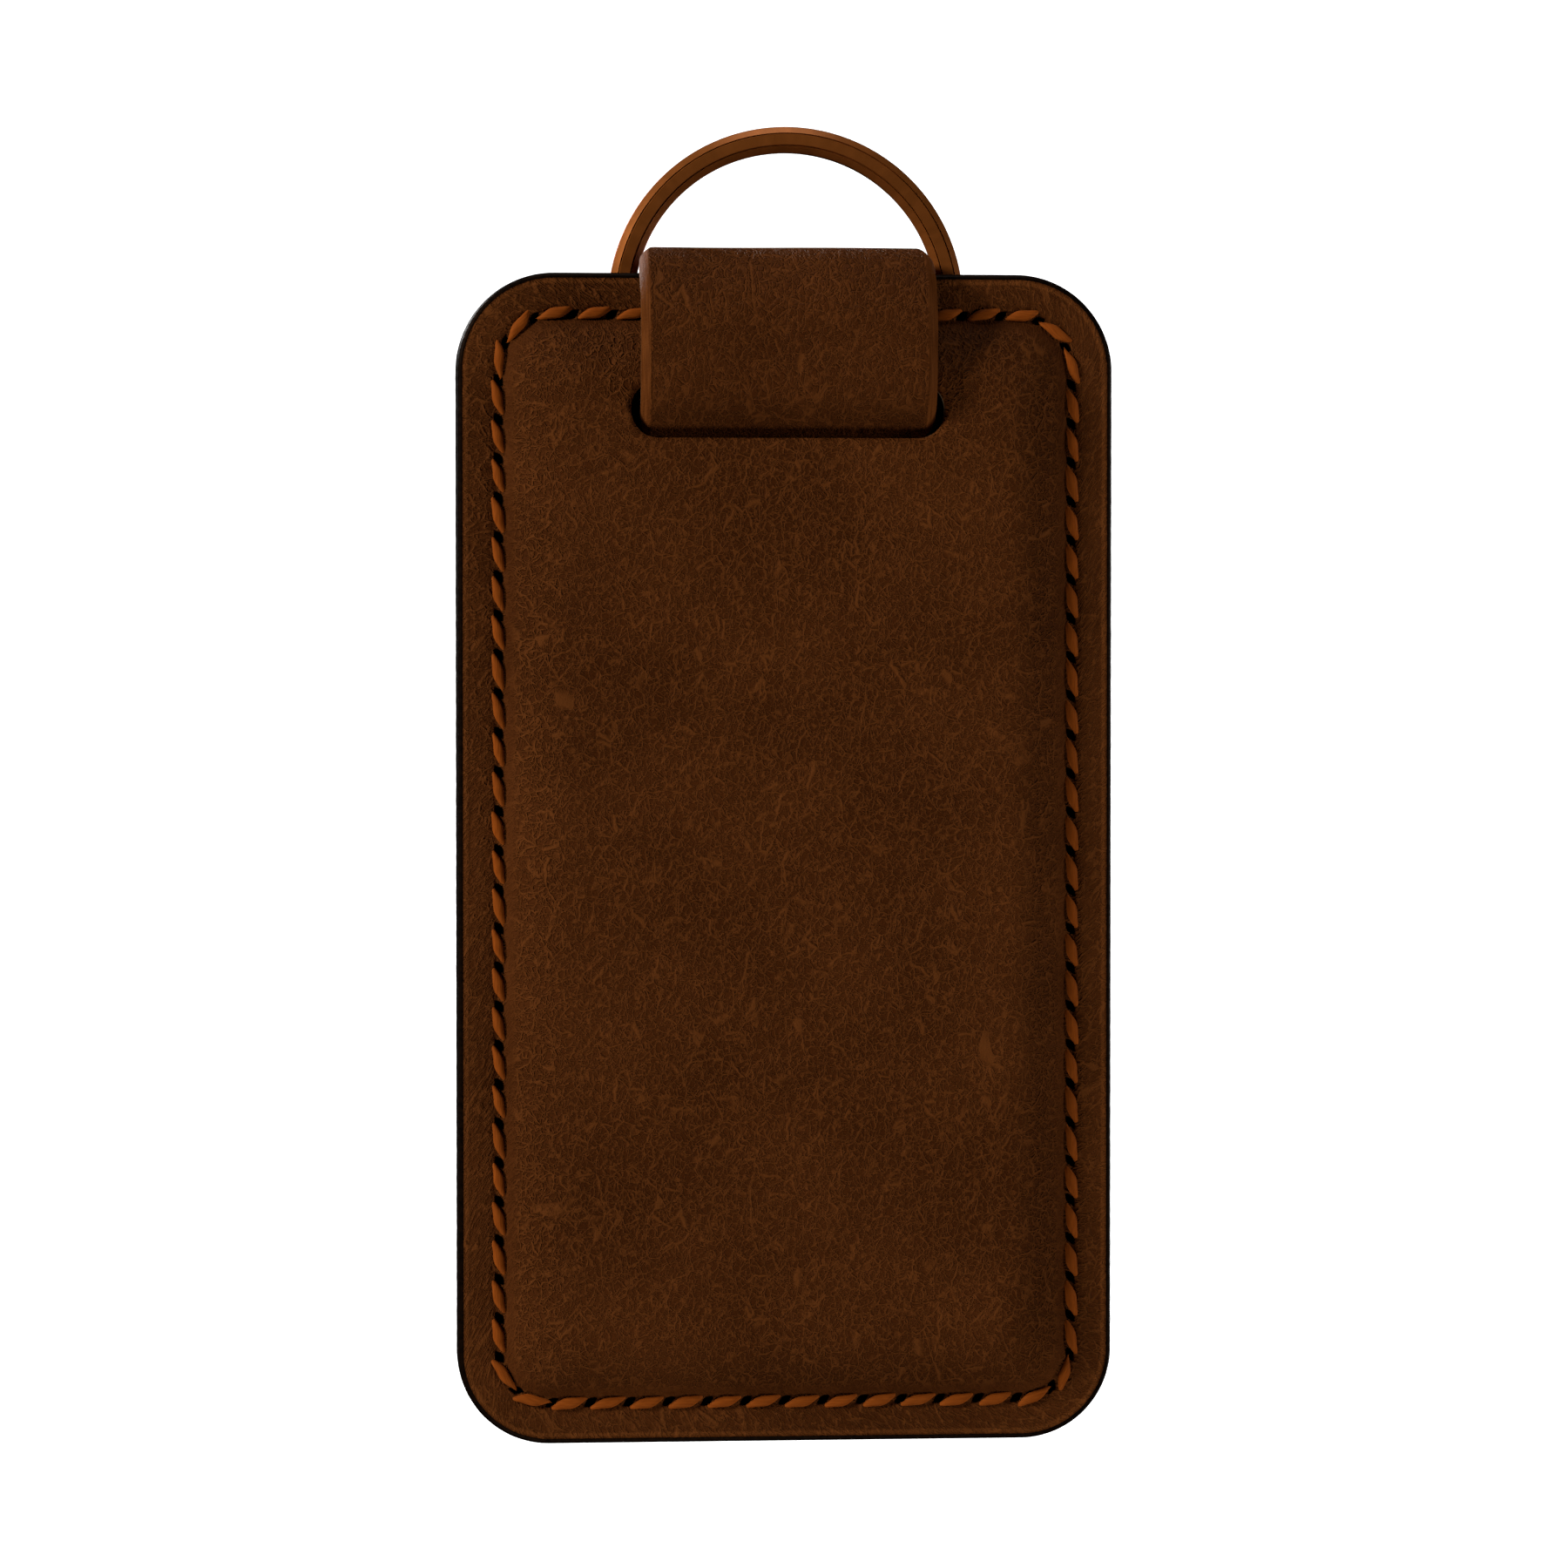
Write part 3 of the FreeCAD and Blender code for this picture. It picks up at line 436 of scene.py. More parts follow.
def stitches(name, places, level, side, lift, material, replaced):
    """Flattened, slanted stitches whose ends dive into the needle holes."""
    rows, columns = 19, 12
    t = np.linspace(-1, 1, rows)
    turn = np.arange(columns) / columns * 2 * math.pi
    points, faces, along, tone = [], [], [], []
    for number, ((here_x, here_z), heading) in enumerate(places):
        length = STITCH_HALF_LENGTH * rng.uniform(0.95, 1.05)
        width = STITCH_HALF_WIDTH * rng.uniform(0.93, 1.05)
        wobble = rng.uniform(-0.05, 0.05)
        lean = heading + math.radians(rng.uniform(-1.5, 1.5)) + side * math.radians(1.0)
        centre_side = side * (0.36 * np.sin(t * math.pi / 2) ** 3 + 0.10 * t + wobble * (1 - t * t))
        half = width * (1 - np.abs(t) ** 2.1) ** 0.95 + 0.03
        middle = level + lift - 0.5 * np.abs(t) ** 3.2
        across = centre_side[:, None] + half[:, None] * np.cos(turn)
        out = middle[:, None] + STITCH_HALF_THICK * np.sin(turn) * (half / width)[:, None] ** 0.6
        down = (t * length)[:, None] + 0.10 * side * np.cos(turn) * np.ones((rows, 1))
        x = here_x + down * math.cos(lean) - across * math.sin(lean)
        z = here_z + down * math.sin(lean) + across * math.cos(lean)
        y = -side * out
        first = len(points) * rows * columns
        points.append(np.column_stack([x.ravel(), y.ravel(), z.ravel()]))
        local = grid_faces(rows, columns, first, close_columns=True)
        local.append(tuple(first + column for column in reversed(range(columns))))
        local.append(tuple(first + (rows - 1) * columns + column for column in range(columns)))
        faces += local if side < 0 else [tuple(reversed(face)) for face in local]
        along.append(np.column_stack([(down + number * 4.1).ravel(), across.ravel(),
                                      np.full(rows * columns, 0.0)]))
        tone.append(np.full(rows * columns, rng.uniform(0, 1)))
    piece = add_mesh(name, np.vstack(points), faces, material,
                     {"flat_at": np.vstack(along), "tone": np.concatenate(tone)}, sharp=70)
    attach(piece, "case")
    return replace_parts(piece, replaced)


def edge_band(name, loop, profile, material, seed):
    """A painted edge that runs round a loop. loop(inset) gives its points, profile is (inset, depth)."""
    ripples = np.random.default_rng(seed)
    loops = [loop(inset) for inset, _ in profile]
    size = len(loops[0][0])
    distance = loop_distance(*loops[0])
    waves = [np.sin(distance * 6.28 / pitch + ripples.uniform(0, 6.28)) for pitch in (1.1, 1.9, 3.4, 7.3)]
    wave = sum(waves) / len(waves)
    points, at = [], []
    for number, ((x, z), (_, depth)) in enumerate(zip(loops, profile)):
        swell = 0.02 * wave * math.sin(math.pi * number / (len(profile) - 1))
        points.append(np.column_stack([x * (1 + swell / HALF), np.full(size, depth), z]))
        at.append(np.column_stack([distance, np.full(size, depth), np.zeros(size)]))
    faces = grid_faces(len(profile), size, close_rows=True, close_columns=True)
    faces = [tuple(reversed(face)) for face in faces]
    piece = add_mesh(name, np.vstack(points), faces, material, {"flat_at": np.vstack(at)}, sharp=80)
    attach(piece, "case")
    return piece


# ---------------------------------------------------------------- the strap

def bezier(points, count):
    t = np.linspace(0, 1, count)[:, None]
    a, b, c, e = (np.array(point, float) for point in points)
    return a * (1 - t) ** 3 + 3 * b * t * (1 - t) ** 2 + 3 * c * t * t * (1 - t) + e * t ** 3


def strap_path():
    """The strap's inner face from the hidden tail to the tab's end, as evenly spaced (y, z) points."""
    tail = np.array([(-TAIL_DEPTH, TAIL_LOW), (-TAIL_DEPTH, TAIL_HIGH)])
    rise = bezier([(-TAIL_DEPTH, TAIL_HIGH + 0.1), (-TAIL_DEPTH, 102.2), (-FOLD_INNER, 101.9),
                   (-FOLD_INNER, LEG_LOW - 0.5)], 60)
    leg = np.array([(-FOLD_INNER, LEG_LOW), (-FOLD_INNER, FOLD_HEIGHT - 0.2)])
    turn = np.linspace(math.pi, 0, 120)
    fold = np.column_stack([FOLD_INNER * np.cos(turn), FOLD_HEIGHT + FOLD_INNER * np.sin(turn)])
    drops = np.array([0.0, 0.4, TAB_LENGTH])
    tab = np.column_stack([FOLD_INNER - drops * math.sin(TAB_SLOPE), TAB_TOP - drops * math.cos(TAB_SLOPE)])
    path = np.vstack([tail, rise, leg, fold, tab])
    distance = np.concatenate([[0], np.cumsum(np.hypot(*np.diff(path, axis=0).T))])
    even = np.linspace(0, distance[-1], int(distance[-1] / STRAP_STEP))
    return even, np.column_stack([np.interp(even, distance, path[:, axis]) for axis in (0, 1)])


STRAP_AT, STRAP_PATH = strap_path()
STRAP_END = STRAP_AT[-1]
LAST_ROW = len(STRAP_AT) - 1
FOLD_ROW = int(np.argmax(STRAP_PATH[:, 1]))
SPLIT_ROW = FOLD_ROW + int(np.searchsorted(-STRAP_PATH[FOLD_ROW:, 1], -(FOLD_HEIGHT + FOLD_INNER * 0.866)))
BEVEL_STEPS = np.array([0, 0.02, 0.08, 0.18, 0.32, 0.48, 0.65, 0.82, 0.98, 1.15, 1.4, 3.0])
END_STEPS = np.array([3.2, 2.4, 1.8, 1.35, 1.0, 0.7, 0.46, 0.28, 0.14, 0.05, 0.0])
INNER_COLUMNS = np.arange(-1, 1.0001, 1 / 18)
INNER_MARGIN = 3.6


def tab_corner(to_end):
    """How far the tab's rounded end draws each edge in."""
    into = np.clip(TAB_CORNER - to_end, 0, TAB_CORNER)
    return TAB_CORNER - np.sqrt(TAB_CORNER ** 2 - into ** 2)


def strap_half():
    """Half the strap's width at each point of its path."""
    y, z = STRAP_PATH.T
    past_top = STRAP_AT - STRAP_AT[FOLD_ROW]
    front = STRAP_HALF - (STRAP_HALF - NECK_HALF) * smooth(-3.2, 3.2, past_top)
    back = NECK_HALF + (STRAP_HALF - NECK_HALF) * smooth(TAB_TOP - 5, TAB_TOP - 10, z)
    half = np.where((y < 0) | (z > FOLD_HEIGHT), front, back)
    return half - tab_corner(STRAP_END - STRAP_AT)


def bevel_drop(away, width, height):
    """How far the strap's face falls towards its cut edge."""
    t = np.clip(1 - away / width, 0, 1)
    return height * (1 - (1 - t ** 1.35) ** 0.78)


def strap_layer(name, first, last, low, high, bevel, material, slot):
    """One layer of the strap between two rows of its path, low and high above the inner face."""
    at = STRAP_AT[first:last + 1]
    has_end = last == LAST_ROW
    if has_end:
        at = np.concatenate([at[at < STRAP_END - END_STEPS[0] - 0.2], STRAP_END - END_STEPS])
    path = np.column_stack([np.interp(at, STRAP_AT, STRAP_PATH[:, axis]) for axis in (0, 1)])
    to_end = STRAP_END - at
    half = np.interp(at, STRAP_AT, strap_half())
    half = np.where(to_end < TAB_CORNER, STRAP_HALF - tab_corner(to_end), half)
    ahead = np.gradient(path, axis=0)
    ahead /= np.linalg.norm(ahead, axis=1)[:, None]
    normal = np.column_stack([-ahead[:, 1], ahead[:, 0]])
    reach = half[:, None] - BEVEL_STEPS
    x = np.hstack([-reach, INNER_COLUMNS * (half[:, None] - INNER_MARGIN), reach[:, ::-1]])
    size, columns = x.shape
    away = np.minimum(half[:, None] - np.abs(x), to_end[:, None] if has_end else np.inf)
    waves = 0.04 * ripple(x, np.repeat(at[:, None], columns, 1), 14, 21) * smooth(0, 3, away)
    top = high - bevel_drop(away, *bevel) + waves
    foot = low + 0.12 * np.clip(1 - away / 0.25, 0, 1) ** 2

    def surface(offset):
        y, z = (path[:, axis, None] + normal[:, axis, None] * offset for axis in (0, 1))
        return np.column_stack([x.ravel(), y.ravel(), z.ravel()])

    points = np.vstack([surface(top), surface(foot)])
    count = size * columns
    faces = [tuple(reversed(face)) for face in grid_faces(size, columns)]
    faces += [tuple(count + corner for corner in reversed(face)) for face in faces]
    numbers = np.arange(count).reshape(size, columns)
    for rim in (numbers[:, 0], numbers[-1], numbers[::-1, -1], numbers[0, ::-1]):
        faces += [(here, count + here, count + following, following)
                  for here, following in zip(rim[:-1].tolist(), rim[1:].tolist())]
    flat = np.column_stack([x.ravel(), np.repeat(at, columns), np.zeros(count)])
    cut = smooth(bevel[0] * 1.12, bevel[0] * 0.8, away).ravel()
    attributes = {
        "flat_at": np.vstack([flat, flat + (0, 0, 5)]),
        "cut_edge": np.concatenate([cut, np.ones(count) * (away.ravel() < 0.5)]),
    }
    piece = add_mesh(name, points, faces, material, attributes, sharp=50)
    return piece


# ---------------------------------------------------------------- metal

def on_tab(x, out, drop):
    """Points given by width, distance out of the tab's inner face and distance down the tab."""
    y = FOLD_INNER + out * math.cos(TAB_SLOPE) - drop * math.sin(TAB_SLOPE)
    z = TAB_TOP - drop * math.cos(TAB_SLOPE) - out * math.sin(TAB_SLOPE)
    return np.column_stack([x, y, z])


def on_back(x, out, drop):
    """The same on the back panel, with out measured from the seam's middle plane."""
    return np.column_stack([x, out, TAB_TOP - drop])


def soften(profile):
    """The profile with each corner worn off a little and the straights between them kept."""
    corners = np.array(profile, float)
    fine = [corners[0]]
    for start, stop in zip(corners[:-1], corners[1:]):
        fine += [start * 0.88 + stop * 0.12, start * 0.12 + stop * 0.88, stop]
    for number in range(3, len(fine) - 1, 3):
        fine[number] = (fine[number - 1] + fine[number + 1] + 2 * fine[number]) / 4
    return np.array(fine)


def turned(name, profile, to_points, body, node):
    """A turned piece of the snap: profile is (distance along the axis, radius), closed on the axis or
    as a tube."""
    fine = soften(profile)
    around = 96
    turn = np.arange(around) / around * 2 * math.pi
    x = (fine[:, 1, None] * np.cos(turn)).ravel()
    drop = (SNAP_DROP + fine[:, 1, None] * np.sin(turn)).ravel()
    out = np.repeat(fine[:, 0], around)
    is_tube = fine[0, 1] > 0.01
    faces = grid_faces(len(fine), around, close_rows=is_tube, close_columns=True)
    piece = add_mesh(name, to_points(x, out, drop), faces, snap_metal, sharp=35)
    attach(piece, body)
    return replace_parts(piece, node)


def ring_path():
    """The middle line of the D-ring's wall: bow, left corner, bar and right corner."""
    reach = RING_RADIUS - RING_CORNER
    level = RING_BAR + RING_CORNER
    across = math.sqrt(reach ** 2 - (level - RING_CENTRE) ** 2)
    lean = math.atan2(level - RING_CENTRE, across)
    turn = np.linspace(lean, math.pi - lean, 220)
    bow = np.column_stack([RING_RADIUS * np.cos(turn), RING_CENTRE + RING_RADIUS * np.sin(turn)])
    left = np.linspace(math.pi - lean, math.pi * 1.5, 16)[1:]
    left = np.column_stack([-across + RING_CORNER * np.cos(left), level + RING_CORNER * np.sin(left)])
    bar = np.column_stack([np.linspace(-across, across, 30)[1:-1], np.full(28, RING_BAR)])
    right = np.linspace(-math.pi / 2, lean, 16)[:-1]
    right = np.column_stack([across + RING_CORNER * np.cos(right), level + RING_CORNER * np.sin(right)])
    return np.vstack([bow, left, bar, right])


def ring_section():
    """The bevelled section of the ring's wall, with a fine groove along each of its faces' corners."""
    half_wall, half_thick = RING_WALL / 2, RING_THICK / 2
    outer = [(half_wall, half_thick - RING_BEVEL), (half_wall - RING_BEVEL, half_thick)]
    inner = [(-x, y) for x, y in reversed(outer)]
    corners = np.array(outer + inner + [(x, -y) for x, y in reversed(outer + inner)])
    section = []
    for number, corner in enumerate(corners):
        before = corners[number - 1] - corner
        after = corners[(number + 1) % len(corners)] - corner
        before /= np.linalg.norm(before)
        after /= np.linalg.norm(after)
        if abs(corner[1]) > half_thick - 0.01:
            groove = corner - np.array([0.0, math.copysign(RING_GROOVE, corner[1])])
            section += [corner + before * 0.15, corner + before * 0.10, groove, corner + after * 0.10,
                        corner + after * 0.15]
            continue
        for t in (0, 0.25, 0.5, 0.75, 1):
            a, b = corner + before * RING_SOFT, corner + after * RING_SOFT
            section.append((1 - t) ** 2 * a + 2 * t * (1 - t) * corner + t * t * b)
    return np.array(section)


def make_ring():
    path, section = ring_path(), ring_section()
    ahead = np.roll(path, -1, 0) - np.roll(path, 1, 0)
    ahead /= np.linalg.norm(ahead, axis=1)[:, None]
    outward = np.column_stack([ahead[:, 1], -ahead[:, 0]])
    rows, columns = len(path), len(section)
    x, z = (path[:, axis, None] + outward[:, axis, None] * section[:, 0] for axis in (0, 1))
    y = RING_PLANE + np.repeat(section[None, :, 1], rows, 0)
    points = np.column_stack([x.ravel() + RING_SLIDE, y.ravel(), z.ravel()])
    distance = loop_distance(*path.T)
    at = np.column_stack([np.repeat(distance, columns), np.tile(np.arange(columns) * 0.2, rows),
                          np.zeros(rows * columns)])
    faces = grid_faces(rows, columns, close_rows=True, close_columns=True)
    piece = add_mesh("ring", points, faces, ring_metal, {"flat_at": at}, sharp=32)
    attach(piece, "ring")
    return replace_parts(piece, "d_ring")


# ---------------------------------------------------------------- materials

class Nodes:
    """Short ways to add and join shader nodes."""

    def __init__(self, name):
        self.material = bpy.data.materials.new(name)
        self.material.use_nodes = True
        self.tree = self.material.node_tree
        self.shader = self.tree.nodes["Principled BSDF"]

    def join(self, socket, value):
        if isinstance(value, bpy.types.NodeSocket):
            self.tree.links.new(value, socket)
        elif isinstance(value, (int, float)) and hasattr(socket.default_value, "__len__"):
            socket.default_value = [value] * len(socket.default_value)
        else:
            socket.default_value = value

    def attribute(self, name, output="Vector"):
        node = self.tree.nodes.new("ShaderNodeAttribute")
        node.attribute_name = name
        return node.outputs[output]

    def math(self, operation, first, second=0.0, third=0.0, clamp=False):
        node = self.tree.nodes.new("ShaderNodeMath")
        node.operation = operation
        node.use_clamp = clamp
        for socket, value in zip(node.inputs, (first, second, third)):
            self.join(socket, value)
        return node.outputs[0]

    def times(self, first, second):
        return self.math("MULTIPLY", first, second)

    def plus(self, first, second):
        return self.math("ADD", first, second)

    def one_less(self, value):
        return self.math("SUBTRACT", 1.0, value)

    def vector(self, operation, first, second):
        node = self.tree.nodes.new("ShaderNodeVectorMath")
        node.operation = operation
        self.join(node.inputs[0], first)
        self.join(node.inputs[1], second)
        return node.outputs[0]

    def turn(self, vector, angle, scale):
        node = self.tree.nodes.new("ShaderNodeMapping")
        self.join(node.inputs["Vector"], vector)
        node.inputs["Rotation"].default_value = (0, 0, math.radians(angle))
        node.inputs["Scale"].default_value = scale
        return node.outputs[0]

    def noise(self, vector, scale, detail=2.0, output="Fac"):
        node = self.tree.nodes.new("ShaderNodeTexNoise")
        self.join(node.inputs["Vector"], vector)
        node.inputs["Scale"].default_value = scale
        node.inputs["Detail"].default_value = detail
        return node.outputs[output]

    def cells(self, vector, scale):
        node = self.tree.nodes.new("ShaderNodeTexVoronoi")
        node.feature = "DISTANCE_TO_EDGE"
        self.join(node.inputs["Vector"], vector)
        node.inputs["Scale"].default_value = scale
        return node.outputs["Distance"]

    def ramp(self, value, low, high, out_low=0.0, out_high=1.0):
        node = self.tree.nodes.new("ShaderNodeMapRange")
        node.interpolation_type = "SMOOTHSTEP"
        limits = {"From Min": low, "From Max": high, "To Min": out_low, "To Max": out_high}
        for name, number in limits.items():
            node.inputs[name].default_value = number
        self.join(node.inputs["Value"], value)
        return node.outputs[0]

    def mix(self, amount, first, second):
        node = self.tree.nodes.new("ShaderNodeMix")
        node.data_type = "RGBA"
        self.join(node.inputs["Factor"], amount)
        for name, value in (("A", first), ("B", second)):
            socket = next(item for item in node.inputs if item.name == name and item.type == "RGBA")
            self.join(socket, value)
        return next(item for item in node.outputs if item.type == "RGBA")

    def bump(self, height, distance, strength=1.0):
        node = self.tree.nodes.new("ShaderNodeBump")
        node.inputs["Strength"].default_value = strength
        node.inputs["Distance"].default_value = distance * MM
        self.join(node.inputs["Height"], height)
        self.join(self.shader.inputs["Normal"], node.outputs[0])

    def set(self, **values):
        for name, value in values.items():
            self.join(self.shader.inputs[name.replace("_", " ")], value)


def rgb(red, green, blue):
    return (red, green, blue, 1.0)


DARK = rgb(0.040, 0.0105, 0.0022)
BROWN = rgb(0.068, 0.0185, 0.0040)
# The lighter brown below is painted highlight, laid on the leather's crease tops and on the case's rim.
HIGHLIGHT_BROWN = rgb(0.175, 0.053, 0.0115)
# The near black below is painted shade inside the needle holes.
HOLE_SHADE_BLACK = rgb(0.0012, 0.0006, 0.0004)
WARM = rgb(1.0, 0.36, 0.10)


def shaken(nodes, at, scale, amount):
    """Points pushed about at random, so that a regular pattern turns irregular."""
    push = nodes.vector("SUBTRACT", nodes.noise(at, scale, 2.0, "Color"), (0.5, 0.5, 0.5))
    return nodes.vector("ADD", at, nodes.vector("MULTIPLY", push, (amount, amount, 0)))


def creases(nodes, at, scale, width):
    """A network of rounded ridges of this width, in millimetres, between cells 1 / scale across."""
    return nodes.ramp(nodes.cells(at, scale), width * scale * 0.15, width * scale * 0.85, 1.0, 0.0)


def grain_lines(nodes, at):
    """Height of the leather's network of fine creases, 0 to 1, for points given in millimetres."""
    bent = shaken(nodes, at, 0.55, 1.3)
    fine = creases(nodes, shaken(nodes, nodes.turn(bent, 12, (1.0, 0.80, 1)), 2.6, 0.36), 2.1, 0.095)
    long = creases(nodes, nodes.turn(bent, 31, (1.0, 0.6, 1)), 0.72, 0.09)
    cross = creases(nodes, nodes.turn(bent, -40, (0.6, 1.0, 1)), 0.80, 0.09)
    broken = nodes.ramp(nodes.noise(at, 1.6, 2.0), 0.36, 0.60, 0.55, 1.0)
    return nodes.math("MAXIMUM", nodes.times(fine, nodes.times(broken, 0.9)),
                      nodes.math("MAXIMUM", long, nodes.times(cross, broken)))


def seam_wrinkles(nodes):
    """Slanted wrinkles across the seam, pressed in beside the stitches."""
    bent = shaken(nodes, nodes.attribute("seam_at"), 0.55, 1.2)
    fine = creases(nodes, shaken(nodes, nodes.turn(bent, 38, (1.0, 0.55, 1)), 2.2, 0.42), 1.9, 0.10)
    long = creases(nodes, nodes.turn(bent, 20, (1.0, 0.40, 1)), 0.8, 0.09)
    broken = nodes.ramp(nodes.noise(bent, 1.1, 2.0), 0.36, 0.60, 0.25, 1.0)
    return nodes.math("MAXIMUM", nodes.times(fine, broken), long)


def leather_colour(nodes, at, lines, crease_highlight):
    """Cloudy brown with dark pores, and crease tops painted lighter as a painted highlight on the raised
    ridges. It returns the pores too.
    """
    pores = nodes.noise(at, 5.5, 3.0)
    cloud = nodes.noise(at, 0.06, 3.0)
    ground = nodes.mix(nodes.ramp(cloud, 0.3, 0.7), DARK, BROWN)
    ground = nodes.mix(nodes.ramp(pores, 0.35, 0.75, 0.0, 0.35), ground, DARK)
    # Painted highlight: crease tops are mixed towards the lighter brown.
    return nodes.mix(nodes.times(lines, crease_highlight), ground, HIGHLIGHT_BROWN), pores


def finish_leather(nodes, colour, lines, pores):
    height = nodes.plus(nodes.times(lines, 0.8), nodes.times(pores, 0.3))
    nodes.bump(height, 0.30)
    nodes.set(Base_Color=colour, Roughness=0.55, Specular_IOR_Level=0.04, Specular_Tint=WARM)
    return nodes.material


def case_leather_material():
    """Grained leather that wrinkles across its seam margin, with a painted highlight along its rounded rim
    and needle holes painted black as painted shade.
    """
    nodes = Nodes("case_leather")
    at = nodes.attribute("flat_at")
    inset = nodes.attribute("inset", "Fac")
    wrinkled = nodes.times(nodes.ramp(inset, 6.4, 4.4), 0.8)
    grained = nodes.times(grain_lines(nodes, at), nodes.one_less(wrinkled))
    lines = nodes.plus(grained, nodes.times(seam_wrinkles(nodes), wrinkled))
    steep = nodes.times(nodes.ramp(inset, 4.4, 4.8), nodes.ramp(inset, 5.9, 5.2))
    stretched = nodes.one_less(nodes.times(steep, 0.6))
    lines = nodes.times(lines, stretched)
    colour, pores = leather_colour(nodes, at, lines, 0.38)
    # Painted highlight: a lighter band along the rounded rim just inside the painted edge.
    rim = nodes.times(nodes.ramp(inset, 0.55, 0.8), nodes.ramp(inset, 1.15, 0.95))
    colour = nodes.mix(nodes.times(rim, 0.35), colour, HIGHLIGHT_BROWN)
    # Painted shade: the needle holes are painted near black.
    colour = nodes.mix(nodes.ramp(nodes.attribute("hole", "Fac"), 0.15, 0.55), colour, HOLE_SHADE_BLACK)
    return finish_leather(nodes, colour, lines, pores)


def strap_leather_material():
    """The same leather with smooth cut edges, streaked along the strap; the cut edges are painted lighter,
    partly their own smoothed colour and partly a painted highlight.
    """
    nodes = Nodes("strap_leather")
    at = nodes.attribute("flat_at")
    cut = nodes.attribute("cut_edge", "Fac")
    lines = nodes.times(grain_lines(nodes, at), nodes.one_less(cut))
    colour, pores = leather_colour(nodes, at, lines, 0.30)
    streak = nodes.noise(nodes.turn(at, 0, (6.0, 0.35, 1)), 1.0, 2.0)
    # Partly painted highlight: the cut edges take a lighter, warmer brown than the face, partly their own
    # finish.
    burnish_and_highlight = nodes.mix(nodes.ramp(streak, 0.3, 0.7), rgb(0.075, 0.020, 0.0038), rgb(0.125, 0.036, 0.0075))
    colour = nodes.mix(nodes.times(cut, 0.8), colour, burnish_and_highlight)
    return finish_leather(nodes, colour, lines, pores)


def plain(name, base, light, scale, roughness, bump, metallic=0.0, specular=0.4, attribute="flat_at",
          stretch=(1, 1, 1), tint=WARM):
    """Uneven colour and a fine relief for the smaller pieces, in the named attribute's millimetres
    or, where there is none, in the object's own."""
    nodes = Nodes(name)
    if attribute:
        at = nodes.turn(nodes.attribute(attribute), 0, stretch)
    else:
        node = nodes.tree.nodes.new("ShaderNodeTexCoord")
        at = nodes.vector("MULTIPLY", node.outputs["Object"], tuple(1000.0 * item for item in stretch))
    value = nodes.noise(at, scale, 3.0)
    nodes.set(Base_Color=nodes.mix(nodes.ramp(value, 0.3, 0.7), base, light), Roughness=roughness,
              Metallic=metallic, Specular_IOR_Level=specular, Specular_Tint=tint)
    nodes.bump(value, bump)
    return nodes.material


def thread_material():
    nodes = Nodes("waxed_thread")
    at = nodes.attribute("flat_at")
    tone = nodes.attribute("tone", "Fac")
    fibres = nodes.noise(nodes.turn(at, 22, (0.8, 7.0, 1)), 1.0, 2.0)
    body = nodes.mix(nodes.ramp(fibres, 0.3, 0.7), rgb(0.180, 0.038, 0.0040), rgb(0.240, 0.054, 0.0060))
    body = nodes.mix(nodes.times(tone, 0.25), body, rgb(0.13, 0.032, 0.0045))
    nodes.bump(fibres, 0.03)
    nodes.set(Base_Color=body, Roughness=0.6, Specular_IOR_Level=0.08, Specular_Tint=WARM)
    return nodes.material


def lining_material():
    nodes = Nodes("lining_cloth")
    at = nodes.attribute("flat_at")
    warp = nodes.math("SINE", nodes.times(nodes.noise(nodes.turn(at, 0, (3, 0.1, 1)), 1.0), 40.0))
    weft = nodes.math("SINE", nodes.times(nodes.noise(nodes.turn(at, 0, (0.1, 3, 1)), 1.0), 40.0))
    weave = nodes.ramp(nodes.plus(warp, weft), -1.5, 1.5)
    colour = nodes.mix(weave, rgb(0.018, 0.008, 0.004), rgb(0.042, 0.020, 0.010))
    nodes.set(Base_Color=colour, Roughness=0.9, Specular_IOR_Level=0.15)
    nodes.bump(weave, 0.04)
    return nodes.material


case_leather = case_leather_material()
strap_leather = strap_leather_material()
strap_inner = plain("strap_lining", rgb(0.075, 0.024, 0.006), rgb(0.13, 0.045, 0.013), scale=3.0,
                    roughness=0.6, bump=0.05, stretch=(1, 0.4, 1))
edge_paint = plain("edge_paint", rgb(0.0015, 0.0008, 0.0005), rgb(0.005, 0.0022, 0.001), scale=2.2,
                   roughness=0.45, bump=0.06, specular=0.03, tint=rgb(1.0, 0.5, 0.28))
thread = thread_material()
cloth = lining_material()
board = plain("board", rgb(0.16, 0.10, 0.055), rgb(0.24, 0.16, 0.09), scale=1.5, roughness=0.9,
              bump=0.05, attribute=None)
snap_metal = plain("snap_metal", rgb(0.28, 0.15, 0.06), rgb(0.38, 0.21, 0.09), scale=1.2,
                   roughness=0.34, bump=0.004, metallic=0.9, attribute=None)
ring_metal = plain("ring_metal", rgb(0.195, 0.056, 0.0098), rgb(0.235, 0.068, 0.0124), scale=0.9,
                   roughness=0.38, bump=0.004, metallic=0.35)
welt_cloth = plain("welt", rgb(0.010, 0.006, 0.004), rgb(0.03, 0.015, 0.008), scale=1.0,
                   roughness=0.8, bump=0.03, attribute=None)


# ---------------------------------------------------------------- the pieces

